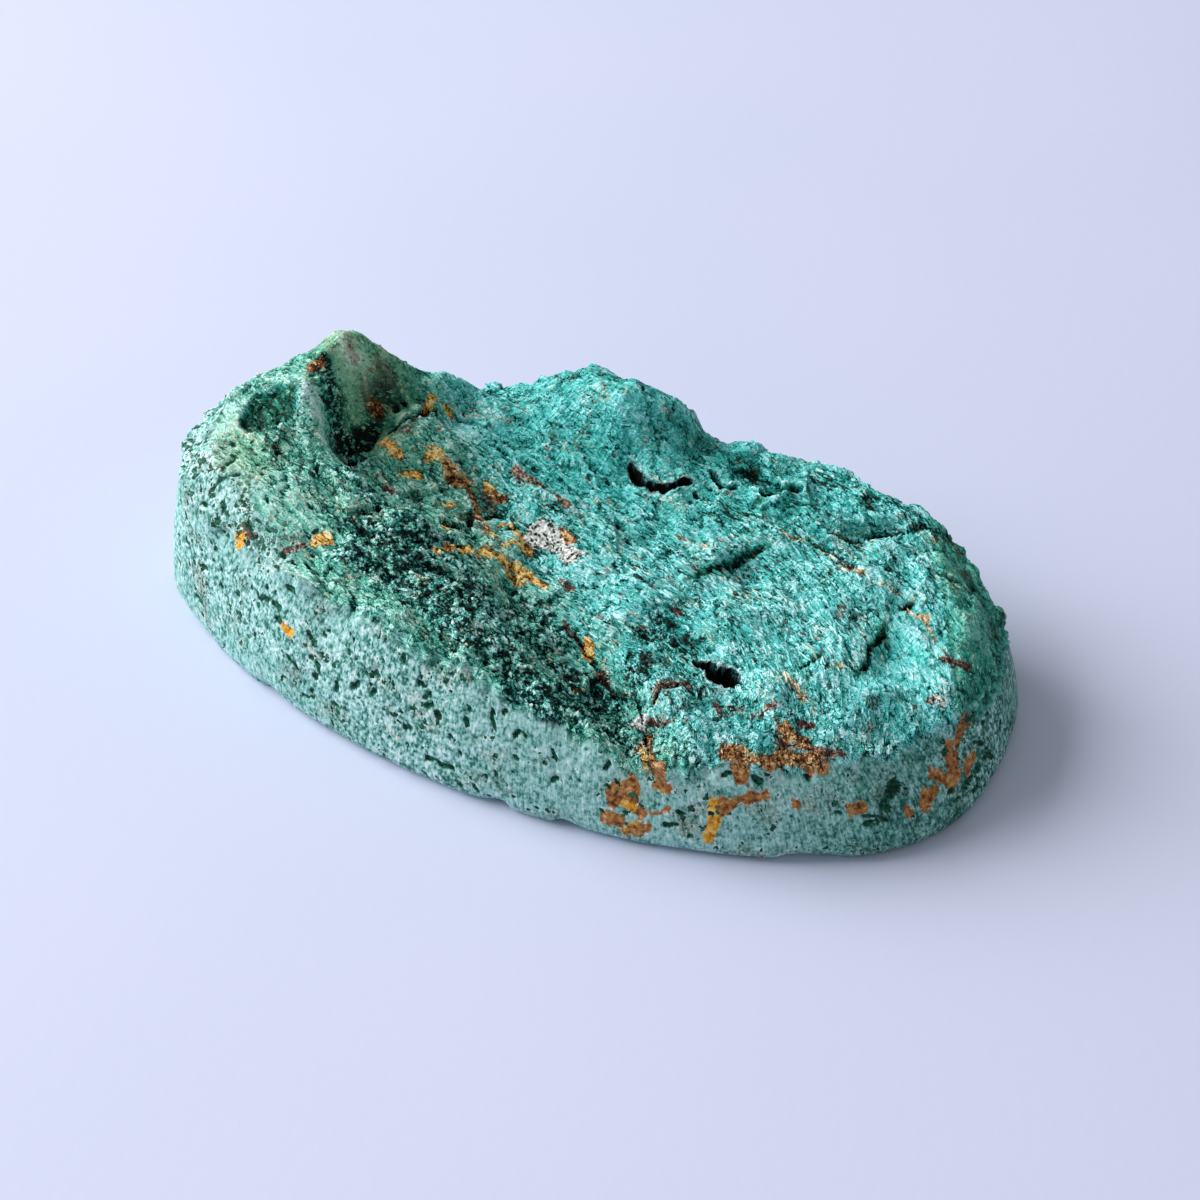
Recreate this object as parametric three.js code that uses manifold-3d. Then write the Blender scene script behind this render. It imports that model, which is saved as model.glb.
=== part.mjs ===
// A rough copper-ore specimen sold as azurite: one oblong stone, ground smooth round its side and
// sawn flat below, with the broken natural face left on top. All sizes are in millimetres, +Z is up
// and the origin is at the middle of the flat base. +X runs along the stone to its blunt low end,
// +Y to its high back edge; the peak stands near the -X end.

import * as THREE from "three";
import { mergeVertices } from "three/addons/utils/BufferGeometryUtils.js";
import Module from "manifold-3d";

// ---- Driving dimensions -------------------------------------------------------------------

const HALF_LENGTH = 30; // of the outline, along X
const HALF_WIDTH = 15.6; // of the outline, along Y
const PEAK_HEIGHT = 18.2; // of the highest point over the base

const GRID = { along: 68, across: 38 }; // cells of the broken face
const SIDE_BEND = 1.7; // how late the side leans in: 1 would be a straight taper
const MID_SIDE = 0.6; // height of the row halfway down the side, as a share of the rim's height
const BASE_EDGE = [[1.2, 0], [0.42, 0.27], [0, 0.9]]; // rows of the worn lower edge: height, inset
const RIM_WEAR = { drop: 0.4, reach: 2 }; // of the rounded rim, as shares of the side's lean there

// Outline, anticlockwise from the low end at equal steps of the curve: x and y as shares of the half
// length and half width, lean of the side in millimetres, rim height as a share of the peak height.
const OUTLINE = [
  [1.0, 0.1, 1.8, 0.4],
  [0.955, 0.54, 1.5, 0.37],
  [0.77, 0.82, 1.4, 0.54],
  [0.46, 0.97, 1.0, 0.61],
  [0.13, 1.0, 0.9, 0.58],
  [-0.22, 0.985, 1.0, 0.74],
  [-0.53, 0.83, 1.6, 0.54],
  [-0.81, 0.53, 1.8, 0.72],
  [-0.985, 0.08, 1.2, 0.68],
  [-0.975, -0.33, 1.6, 0.62],
  [-0.8, -0.6, 2.8, 0.59],
  [-0.53, -0.83, 3.4, 0.63],
  [-0.2, -0.975, 3.0, 0.6],
  [0.16, -1.0, 2.4, 0.47],
  [0.5, -0.9, 2.0, 0.42],
  [0.79, -0.68, 3.4, 0.44],
  [0.955, -0.36, 3.4, 0.46],
];

// Crests and hollows the broken face is drawn over: how softly the face turns at each, in
// millimetres, and the path in shares of the half length, half width and peak height.
const LINES = {
  peakRidge: [0.8, [-0.87, 0.1, 0.77], [-0.68, 0.33, 0.98], [-0.55, 0.5, 0.87], [-0.46, 0.66, 0.72]],
  peakSpur: [0.7, [-0.7, 0.14, 0.9], [-0.66, 0.02, 0.79], [-0.62, -0.1, 0.69], [-0.52, -0.26, 0.63]],
  peakFoot: [0.7, [-0.62, 0.06, 0.53], [-0.59, 0.26, 0.54], [-0.55, 0.46, 0.57], [-0.52, 0.58, 0.6]],
  shoulder: [1.6, [-0.85, -0.24, 0.7], [-0.68, -0.42, 0.67], [-0.45, -0.55, 0.61]],
  hollow: [1.4, [-0.46, 0.11, 0.5], [-0.27, 0.17, 0.43]],
  gully: [1.3, [-0.27, 0.17, 0.43], [-0.09, -0.1, 0.37], [0.11, -0.4, 0.33], [0.32, -0.86, 0.29]],
  frontCrest: [1.4, [-0.32, -0.66, 0.6], [-0.08, -0.76, 0.54], [0.12, -0.86, 0.46]],
  rightCrest: [1.6, [0.0, 0.06, 0.53], [0.19, -0.26, 0.5], [0.34, -0.56, 0.47], [0.47, -0.76, 0.44]],
  lobe: [1.2, [-0.44, 0.4, 0.62], [-0.42, 0.6, 0.58]],
  backHump: [1.3, [-0.33, 0.83, 0.6], [-0.2, 0.81, 0.76], [-0.05, 0.79, 0.86], [0.05, 0.82, 0.8]],
  backLedge: [1.4, [0.14, 0.72, 0.58], [0.34, 0.76, 0.56], [0.6, 0.66, 0.56]],
  saddle: [1.4, [-0.3, 0.4, 0.56], [-0.14, 0.32, 0.55], [0.04, 0.3, 0.53]],
  middle: [1.6, [0.24, 0.12, 0.5], [0.45, -0.1, 0.5], [0.7, -0.2, 0.48]],
  lowCrest: [0.8, [0.76, 0.5, 0.52], [0.85, 0.31, 0.49], [0.93, 0.12, 0.45]],
};
const PULL = 3.2; // how closely the face keeps to its nearest line

// Scarps where the face broke lower along one side of a short edge: middle of the edge in shares of
// the half length and half width, turn of the edge in degrees, drop, half length, reach of the drop.
const SCARPS = {
  humpEnd: [0.08, 0.9, 75, 1.5, 2.4, 3],
  ledgeEnd: [0.25, 0.92, 80, 0.8, 2, 3],
  crescent: [0.31, 0.24, 53, 0.9, 2.4, 4],
  upperScarp: [0.57, 0.64, 31, 0.9, 2.6, 3],
  facetEdge: [0.7, 0.02, 95, 0.9, 2.8, 4],
};
const SCARP_SLOPE = 0.9; // plan width of a scarp

// Finer relief, in millimetres: sizes and rise of the flat plates, the lumps and the streaks. The
// plates and streaks run along the foliation, and the shoulder is worn nearly smooth.
const FOLIATION = -19; // degrees from +X
const PLATES = { along: 3.4, across: 2.0, rise: 0.38, seed: 20 };
const LUMPS = { size: 2.7, rise: 0.4, seed: 3 };
const SMALL_LUMPS = { size: 1.3, rise: 0.25, seed: 7 };
const STREAKS = { along: 5, across: 1.4, rise: 0.25, seed: 11 };
const WORN_SHOULDER = { x: -0.83, y: -0.32, along: 6.5, across: 7, smoothed: 0.8 };

// Cavities sunk in the broken face: place in shares of the half length and half width, half sizes
// along, across and down in millimetres, and turn in degrees.
const CAVITIES = {
  pit: [0.42, -0.36, 1.7, 1.1, 1.5, 10],
  pitTail: [0.37, -0.33, 0.9, 0.6, 1.0, -50],
  glassyPocket: [-0.775, 0.01, 2.1, 1.6, 0.8, 20],
  underPeak: [-0.6, 0.2, 1.8, 0.9, 1.3, 70],
  peakCrevice: [-0.54, 0.5, 1.9, 0.6, 1.3, 55],
  cave: [-0.26, 0.2, 1.3, 0.7, 1.0, 20],
  backPit: [0.33, 0.62, 0.9, 0.7, 0.9, 60],
  ledgePit: [0.37, 0.7, 0.7, 0.5, 0.8, 20],
  gullyPit: [0.16, -0.52, 1.0, 0.6, 0.9, -60],
  crestPit: [-0.3, -0.5, 0.8, 0.6, 0.7, 30],
};

const SMALL_PIT = 0.75; // half size up to which a pit is cut with the plainest ball
const OUT_OF_ROUND = 0.2; // how far the wall of a cavity strays, as a share of its size

// The slit under the lobe at the back, its path in the same shares.
const SLIT = {
  path: [[0.0, 0.54], [0.03, 0.49], [0.08, 0.49], [0.12, 0.53], [0.14, 0.61]],
  halfWidth: 0.55,
  depth: 1.6,
  steps: 7,
};

// Pits of the ground side: share of the outline's turn, share of the peak height, half size.
const SIDE_PITS = {
  large: [0.908, 0.27, 1.2],
  olive: [0.887, 0.29, 1.0],
  teal: [0.844, 0.19, 0.6],
  rimPit: [0.955, 0.4, 0.8],
  endUpper: [0.978, 0.31, 0.6],
  endLower: [0.982, 0.23, 0.7],
  endBack: [0.005, 0.26, 0.7],
  rustPit: [0.828, 0.35, 0.6],
  gullyFoot: [0.771, 0.41, 0.7],
  green: [0.719, 0.35, 0.95],
  greenTwin: [0.729, 0.4, 0.7],
  frontHigh: [0.63, 0.45, 0.7],
  frontMiddle: [0.665, 0.37, 0.7],
  frontLow: [0.675, 0.21, 0.8],
  leftNotch: [0.553, 0.41, 0.9],
  leftLow: [0.573, 0.12, 0.7],
  backLeft: [0.4, 0.33, 1.0],
  backMiddle: [0.28, 0.25, 0.9],
  backRight: [0.16, 0.29, 1.0],
};

// ---- Small maths --------------------------------------------------------------------------

const clamp01 = (t) => Math.min(1, Math.max(0, t));
const smooth = (t) => clamp01(t) ** 2 * (3 - 2 * clamp01(t));
const fract = (t) => t - Math.floor(t);

const turned = (x, y, degrees) => {
  const a = THREE.MathUtils.degToRad(degrees);
  return [x * Math.cos(a) + y * Math.sin(a), -x * Math.sin(a) + y * Math.cos(a)];
};

// A repeatable number from 0 to 1 for each corner of a lattice.
const lattice = (i, j, k) => fract(Math.sin(i * 127.1 + j * 311.7 + k * 74.7) * 43758.5453);

// Smooth noise from -1 to 1 between the lattice corners.
function noise(x, y, seed) {
  const [i, j] = [Math.floor(x), Math.floor(y)];
  const [u, v] = [smooth(x - i), smooth(y - j)];
  const near = THREE.MathUtils.lerp(lattice(i, j, seed), lattice(i + 1, j, seed), u);
  const far = THREE.MathUtils.lerp(lattice(i, j + 1, seed), lattice(i + 1, j + 1, seed), u);
  return 2 * THREE.MathUtils.lerp(near, far, v) - 1;
}

// ---- Form of the stone --------------------------------------------------------------------

const placed = ([x, y, z]) => new THREE.Vector3(x * HALF_LENGTH, y * HALF_WIDTH, z * PEAK_HEIGHT);

const lines = Object.values(LINES).map(([softness, ...path]) => ({ softness, path: path.map(placed) }));

// The outline and, on the same turn, the lean of the side and the height of the rim.
const closedCurve = (points) => new THREE.CatmullRomCurve3(points, true, "catmullrom", 0.5);
const outline = closedCurve(OUTLINE.map(([x, y]) => placed([x, y, 0])));
const rimProfile = closedCurve(OUTLINE.map(([, , lean, rim]) => placed([0, 0, rim]).setX(lean)));

// Nearest place of a line to a place in plan: its distance and its height.
function nearest(line, x, y) {
  let [best, height] = [Infinity, 0];
  for (let k = 0; k + 1 < line.length; k++) {
    const [a, b] = [line[k], line[k + 1]];
    const [dx, dy] = [b.x - a.x, b.y - a.y];
    const t = clamp01(((x - a.x) * dx + (y - a.y) * dy) / (dx * dx + dy * dy));
    const distance = Math.hypot(x - a.x - t * dx, y - a.y - t * dy);
    if (distance < best) [best, height] = [distance, THREE.MathUtils.lerp(a.z, b.z, t)];
  }
  return [best, height];
}

// The low side of a scarp, to the right of its edge, falls away and comes back up over the reach.
function scarp(x, y, [shareX, shareY, turn, drop, halfLength, reach]) {
  const [u, v] = turned(x - shareX * HALF_LENGTH, y - shareY * HALF_WIDTH, turn);
  const fade = Math.exp(-((u / halfLength) ** 4) - (Math.max(-v, 0) / reach) ** 2);
  return -drop * smooth(0.5 - v / SCARP_SLOPE) * fade;
}

// Height of the broken face over the base: the rim and every line pull it to their own heights,
// then the scarps drop it.
function faceHeight(x, y, fromRim, rimHeight) {
  let [sum, total] = [0, 0];
  const pull = (distance, height, softness) => {
    const weight = (distance ** 2 + softness ** 2) ** (-PULL / 2);
    sum += weight * height;
    total += weight;
  };
  pull(fromRim, rimHeight, 1);
  for (const { softness, path } of lines) pull(...nearest(path, x, y), softness);
  const drop = Object.values(SCARPS).reduce((z, s) => z + scarp(x, y, s), 0);
  return sum / total + drop;
}

// Flat plates broken off at slightly different levels and tilts: the height, from about -1 to 1, of
// the plate nearest to a place.
function plateHeight(p, q, seed) {
  let [best, height] = [Infinity, 0];
  for (let i = Math.floor(p) - 1; i <= Math.floor(p) + 1; i++)
    for (let j = Math.floor(q) - 1; j <= Math.floor(q) + 1; j++) {
      const [dp, dq] = [p - i - lattice(i, j, seed), q - j - lattice(i, j, seed + 1)];
      const tilt = (lattice(i, j, seed + 2) - 0.5) * (dp + 2 * dq);
      const distance = Math.hypot(dp, dq);
      if (distance < best) [best, height] = [distance, 2 * lattice(i, j, seed + 3) - 1 + tilt];
    }
  return height;
}

// Relief of the broken face, finer than the named lines.
function relief(x, y) {
  const [u, v] = turned(x, y, FOLIATION);
  const { along, across, smoothed } = WORN_SHOULDER;
  const [dx, dy] = [x - WORN_SHOULDER.x * HALF_LENGTH, y - WORN_SHOULDER.y * HALF_WIDTH];
  const wear = smoothed * Math.exp(-((dx / along) ** 2) - (dy / across) ** 2);
  const plates = PLATES.rise * plateHeight(u / PLATES.along, v / PLATES.across, PLATES.seed);
  const lumps = LUMPS.rise * noise(x / LUMPS.size, y / LUMPS.size, LUMPS.seed);
  const small = SMALL_LUMPS.rise * noise(x / SMALL_LUMPS.size, y / SMALL_LUMPS.size, SMALL_LUMPS.seed);
  const streaks = STREAKS.rise * noise(u / STREAKS.along, v / STREAKS.across, STREAKS.seed);
  return (1 - wear) * (plates + lumps + small + streaks);
}

// A point of the square from -1 to 1 moved into the unit disc: its shares of the radius and the turn.
function squareToDisc(a, b) {
  const u = a * Math.sqrt(1 - (b * b) / 2);
  const v = b * Math.sqrt(1 - (a * a) / 2);
  return [Math.hypot(u, v), fract(Math.atan2(v, u) / (2 * Math.PI))];
}

function facePoint(a, b) {
  const [share, turn] = squareToDisc(a, b);
  const edge = outline.getPoint(turn);
  const { x: lean, z: rimHeight } = rimProfile.getPoint(turn);
  const radius = edge.length() - lean;
  const [x, y] = [(edge.x / edge.length()) * radius * share, (edge.y / edge.length()) * radius * share];
  const fromRim = radius * (1 - share);
  const worn = RIM_WEAR.drop * lean * clamp01(1 - fromRim / (RIM_WEAR.reach * lean)) ** 2;
  return new THREE.Vector3(x, y, faceHeight(x, y, fromRim, rimHeight) + relief(x, y) - worn);
}

// A place on the side: it leans in towards the rim at height top, and is worn by inset.
function sidePoint(turn, z, top, inset) {
  const edge = outline.getPoint(turn);
  const lean = rimProfile.getPoint(turn).x * clamp01(z / top) ** SIDE_BEND;
  return edge.multiplyScalar(1 - (lean + inset) / edge.length()).setZ(z);
}

// ---- Build --------------------------------------------------------------------------------

// The grid of the face, its rows down the side, and a fan that closes the flat base.
function stoneGeometry() {
  const { along, across } = GRID;
  const places = [];
  const faces = [];
  const index = (i, j) => j * (along + 1) + i;
  for (let j = 0; j <= across; j++)
    for (let i = 0; i <= along; i++) places.push(facePoint((2 * i) / along - 1, (2 * j) / across - 1));
  for (let j = 0; j < across; j++)
    for (let i = 0; i < along; i++) {
      const [p, q, r, s] = [index(i, j), index(i + 1, j), index(i + 1, j + 1), index(i, j + 1)];
      faces.push(p, q, r, p, r, s);
    }

  // The rim, anticlockwise round the grid.
  const rim = [];
  for (let i = 0; i < along; i++) rim.push([i, 0]);
  for (let j = 0; j < across; j++) rim.push([along, j]);
  for (let i = along; i > 0; i--) rim.push([i, across]);
  for (let j = across; j > 0; j--) rim.push([0, j]);

  const rows = [rim.map(([i, j]) => index(i, j))];
  const addRow = (height, inset) => {
    const row = rim.map(([i, j]) => {
      const [, turn] = squareToDisc((2 * i) / along - 1, (2 * j) / across - 1);
      const top = places[index(i, j)].z;
      return places.push(sidePoint(turn, height(top), top, inset)) - 1;
    });
    rows.push(row);
  };
  addRow((top) => MID_SIDE * top, 0);
  for (const [height, inset] of BASE_EDGE) addRow(() => height, inset);
  for (let r = 0; r + 1 < rows.length; r++)
    for (let k = 0; k < rim.length; k++) {
      const next = (k + 1) % rim.length;
      const [p, q, s, t] = [rows[r][k], rows[r][next], rows[r + 1][next], rows[r + 1][k]];
      faces.push(p, t, q, q, t, s);
    }
  const last = rows[rows.length - 1];
  const centre = places.push(new THREE.Vector3(0, 0, 0)) - 1;
  for (let k = 0; k < rim.length; k++) faces.push(centre, last[(k + 1) % rim.length], last[k]);
  return new THREE.BufferGeometry().setFromPoints(places).setIndex(faces);
}

const wasm = await Module();
wasm.setup();

function toSolid(geometry) {
  const merged = mergeVertices(geometry.deleteAttribute("normal").deleteAttribute("uv"), 1e-4);
  return new wasm.Manifold(
    new wasm.Mesh({
      numProp: 3,
      vertProperties: merged.attributes.position.array,
      triVerts: new Uint32Array(merged.index.array),
    }),
  );
}

function toGeometry(solid) {
  const mesh = solid.getMesh();
  return new THREE.BufferGeometry()
    .setAttribute("position", new THREE.BufferAttribute(mesh.vertProperties, 3))
    .setIndex(new THREE.BufferAttribute(mesh.triVerts, 1));
}

// A rough-walled cavity: a ball of flat facets, knocked out of round, stretched and turned.
function cavity(centre, [along, across, down], degrees, seed) {
  const ball = new THREE.IcosahedronGeometry(1, along > SMALL_PIT ? 1 : 0);
  const places = ball.attributes.position;
  const corner = new THREE.Vector3();
  for (let k = 0; k < places.count; k++) {
    corner.fromBufferAttribute(places, k);
    const stray = noise(2 * corner.x + corner.z, 2 * corner.y - corner.z, seed);
    corner.multiplyScalar(1 + OUT_OF_ROUND * stray);
    places.setXYZ(k, corner.x, corner.y, corner.z);
  }
  ball.scale(along, across, down);
  ball.rotateZ(THREE.MathUtils.degToRad(degrees));
  ball.translate(centre.x, centre.y, centre.z);
  return toSolid(ball);
}

// The slit: a band that tapers to nothing at both ends of its curved path, sunk straight down.
function slitSolid(bed) {
  const { path, halfWidth, depth, steps } = SLIT;
  const curve = new THREE.SplineCurve(path.map(([x, y]) => placed([x, y, 0])));
  const edge = (t, side) => {
    const across = curve.getTangent(t).rotateAround(new THREE.Vector2(), Math.PI / 2);
    return curve.getPoint(t).addScaledVector(across, side * halfWidth * Math.sin(Math.PI * t));
  };
  const near = Array.from({ length: steps + 1 }, (_, k) => edge(k / steps, -1));
  const far = Array.from({ length: steps - 1 }, (_, k) => edge(1 - (k + 1) / steps, 1));
  const band = new THREE.Shape([...near, ...far]);
  const sunk = new THREE.ExtrudeGeometry(band, { depth: 2 * depth, bevelEnabled: false });
  return toSolid(sunk.translate(0, 0, bed - depth));
}

// Where a straight line from outside meets the uncut stone.
const rock = new THREE.Mesh(stoneGeometry());
const caster = new THREE.Raycaster();
const strike = (from, to) => {
  caster.set(from, to.sub(from).normalize());
  return caster.intersectObject(rock)[0].point;
};
const onFace = ([x, y]) => strike(placed([x, y, 2]), placed([x, y, 0]));
const onSide = (turn, height) => {
  const axis = placed([0, 0, height]);
  return strike(outline.getPoint(turn).multiplyScalar(2).add(axis), axis);
};

let stone = toSolid(rock.geometry.clone());
Object.values(CAVITIES).forEach(([x, y, along, across, down, degrees], k) => {
  stone = stone.subtract(cavity(onFace([x, y]), [along, across, down], degrees, k));
});
Object.values(SIDE_PITS).forEach(([turn, height, size], k) => {
  stone = stone.subtract(cavity(onSide(turn, height), [size, size, size], 0, k));
});
stone = stone.subtract(slitSolid(onFace(SLIT.path[2]).z));

const mesh = new THREE.Mesh(
  toGeometry(stone),
  new THREE.MeshStandardMaterial({ color: 0x4fa596, roughness: 0.85, metalness: 0 }),
);
mesh.name = "stone";

// The middle of its plan is brought to the origin.
const middle = new THREE.Box3().setFromObject(mesh).getCenter(new THREE.Vector3());
mesh.geometry.translate(-middle.x, -middle.y, 0);

const specimen = new THREE.Group();
specimen.add(mesh);

export default specimen;
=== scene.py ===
# %% [markdown]
# # A rough copper-ore stone
# This lesson dresses one oblong stone, sold as azurite though nearly all of it is turquoise-green
# ore. Its side is ground smooth, its base is sawn flat, and its top is the broken natural face,
# granular and stained with ochre and rust. The plain solid that the stone was designed as is loaded
# first, and everything made here keeps to its size. Lengths are in millimetres until the finished
# places go into a mesh, because Blender's own unit is the metre.

import bpy
import numpy as np
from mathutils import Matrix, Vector


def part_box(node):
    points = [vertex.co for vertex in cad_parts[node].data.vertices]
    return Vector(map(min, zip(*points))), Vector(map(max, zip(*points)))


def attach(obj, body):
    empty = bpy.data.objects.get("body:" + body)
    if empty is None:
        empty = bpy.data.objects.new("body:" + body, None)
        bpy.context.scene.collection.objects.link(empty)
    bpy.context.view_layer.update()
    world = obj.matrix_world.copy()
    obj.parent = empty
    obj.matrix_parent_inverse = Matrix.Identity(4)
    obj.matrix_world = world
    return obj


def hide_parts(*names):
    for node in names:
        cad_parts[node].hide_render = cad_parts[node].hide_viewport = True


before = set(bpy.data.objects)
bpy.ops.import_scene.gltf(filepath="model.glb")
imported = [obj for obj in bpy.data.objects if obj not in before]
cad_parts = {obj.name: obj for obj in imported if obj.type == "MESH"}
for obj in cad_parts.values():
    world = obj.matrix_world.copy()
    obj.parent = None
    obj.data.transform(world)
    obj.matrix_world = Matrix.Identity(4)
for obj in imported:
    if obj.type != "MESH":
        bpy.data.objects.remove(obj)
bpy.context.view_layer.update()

# %% [markdown]
# ## Outline
# Seen from above the stone is a rounded oblong, a little flatter along the front. The outline could
# be drawn as a Blender curve, but here it is a table of a few places joined by a smooth closed
# curve, because the same table can then carry the lean of the side and the height of the rim.

# %% Outline, lean of the side and height of the rim
HALF_LENGTH, HALF_WIDTH, PEAK_HEIGHT = 30.0, 15.6, 18.2

# x and y as shares of the half length and width, lean in mm, rim height as a share of the peak.
OUTLINE = np.array([
    [1.0, 0.1, 1.8, 0.4], [0.955, 0.54, 1.5, 0.37], [0.77, 0.82, 1.4, 0.54],
    [0.46, 0.97, 1.0, 0.61], [0.13, 1.0, 0.9, 0.58], [-0.22, 0.985, 1.0, 0.74],
    [-0.53, 0.83, 1.6, 0.54], [-0.81, 0.53, 1.8, 0.72], [-0.985, 0.08, 1.2, 0.68],
    [-0.975, -0.33, 1.6, 0.62], [-0.8, -0.6, 2.8, 0.59], [-0.53, -0.83, 3.4, 0.63],
    [-0.2, -0.975, 3.0, 0.6], [0.16, -1.0, 2.4, 0.47], [0.5, -0.9, 2.0, 0.42],
    [0.79, -0.68, 3.4, 0.44], [0.955, -0.36, 3.4, 0.46],
]) * [HALF_LENGTH, HALF_WIDTH, 1, PEAK_HEIGHT]


def outline(turn):
    """x, y, lean and rim height at a share of the turn.

    Between two rows of the table a cubic starts and ends along half the step between the rows on
    either side, so the closed curve passes through every row without a corner.
    """
    place = np.mod(turn, 1) * len(OUTLINE)
    k = np.floor(place).astype(int)
    t = (place - k)[..., None]
    before, here, after, beyond = (OUTLINE[(k + n) % len(OUTLINE)] for n in (-1, 0, 1, 2))
    start, end = (after - here + here - before) / 2, (beyond - here) / 2
    cube = 2 * (here - after) + start + end
    square = 3 * (after - here) - 2 * start - end
    return np.moveaxis(((cube * t + square) * t + start) * t + here, -1, 0)


print("lean of the side, mm:", OUTLINE[:, 2].min(), "to", OUTLINE[:, 2].max())

# %% [markdown]
# ## Repeatable roughness
# Broken rock is rough at every scale. Blender's noise textures could push a surface about, but the
# relief is worked out with the functions below, so the plain solid and this mesh share the same
# lumps and plates. `wrap` closes a pattern that runs round the side.

# %% Noise, plates and pits
def clamped(t):
    return np.clip(t, 0, 1)


def smooth(t):
    """From 0 to 1 with no corner at either end: three squares less two cubes."""
    return clamped(t) ** 2 * (3 - 2 * clamped(t))


def turned(x, y, degrees):
    """Places measured along and across a direction that is turned from +X."""
    a = np.radians(degrees)
    return x * np.cos(a) + y * np.sin(a), -x * np.sin(a) + y * np.cos(a)


def lattice(i, j, k, wrap=None):
    """A number from 0 to 1 for each corner of a lattice: the fraction of a large sine."""
    i = np.mod(i, wrap) if wrap else i
    s = np.sin(i * 127.1 + j * 311.7 + k * 74.7) * 43758.5453
    return s - np.floor(s)


def noise(x, y, seed, wrap=None):
    """Smooth noise from -1 to 1: the numbers of the four nearest corners, blended."""
    i, j = np.floor(x), np.floor(y)
    u, v = smooth(x - i), smooth(y - j)
    near = lattice(i, j, seed, wrap) * (1 - u) + lattice(i + 1, j, seed, wrap) * u
    far = lattice(i, j + 1, seed, wrap) * (1 - u) + lattice(i + 1, j + 1, seed, wrap) * u
    return 2 * (near * (1 - v) + far * v) - 1


def plates(p, q, seed, wrap=None):
    """Flat plates broken at different levels and tilts: the height of the one nearest to a place."""
    best, height = np.full(p.shape, np.inf), np.zeros(p.shape)
    for di in (-1, 0, 1):
        for dj in (-1, 0, 1):
            i, j = np.floor(p) + di, np.floor(q) + dj
            dp = p - i - lattice(i, j, seed, wrap)
            dq = q - j - lattice(i, j, seed + 1, wrap)
            tilt = (lattice(i, j, seed + 2, wrap) - 0.5) * (dp + 2 * dq)
            nearer = np.hypot(dp, dq) < best
            best = np.where(nearer, np.hypot(dp, dq), best)
            height = np.where(nearer, 2 * lattice(i, j, seed + 3, wrap) - 1 + tilt, height)
    return height


def pits(p, q, share, seed, wrap=None):
    """Round pits, at most one to a lattice cell and only in a share of the cells.

    Each is a slanting bowl with a ragged edge: the square root of one less the square of its own
    radius share, times its size.
    """
    depth, ragged = np.zeros(p.shape), noise(4.3 * p, 4.3 * q, seed + 9)
    for di in (-1, 0, 1):
        for dj in (-1, 0, 1):
            i, j = np.floor(p) + di, np.floor(q) + dj
            dp = p - i - 0.2 - 0.6 * lattice(i, j, seed, wrap)
            dq = q - j - 0.2 - 0.6 * lattice(i, j, seed + 1, wrap)
            size = 0.14 + 0.26 * lattice(i, j, seed + 2, wrap) ** 2
            lean = lattice(i, j, seed + 4, wrap) - 0.2
            reach = (dp**2 + (1 + lean) * (dq + lean * dp) ** 2) / size**2 + 0.5 * ragged
            bowl = size * np.sqrt(clamped(1 - reach))
            depth = np.maximum(depth, bowl * (lattice(i, j, seed + 3, wrap) < share))
    return depth


def averaged(field, reach):
    """Mean over a square of neighbours, `reach` places each way, with the border repeated."""
    for axis in (0, 1):
        pad = [(reach + 1, reach) if k == axis else (0, 0) for k in (0, 1)]
        sums = np.cumsum(np.pad(field, pad, mode="edge"), axis)
        width, n = 2 * reach + 1, field.shape[axis]
        field = (np.take(sums, range(width, width + n), axis) - np.take(sums, range(n), axis)) / width
    return field


print("noise at three places:", noise(np.array([0.5, 1.5, 2.5]), np.array([0.5, 0.5, 0.5]), 3))

# %% [markdown]
# ## Crests and hollows of the broken face
# The face rises to a peak near one end, with a gully down to the front, a hump at the back and a
# low crest at the blunt end. It could be sculpted by hand, but every crest and hollow is given as a
# line with its own height, and the face is drawn over all of them. That keeps the finished stone
# true to the plain solid, which is made from the same lines.

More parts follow.
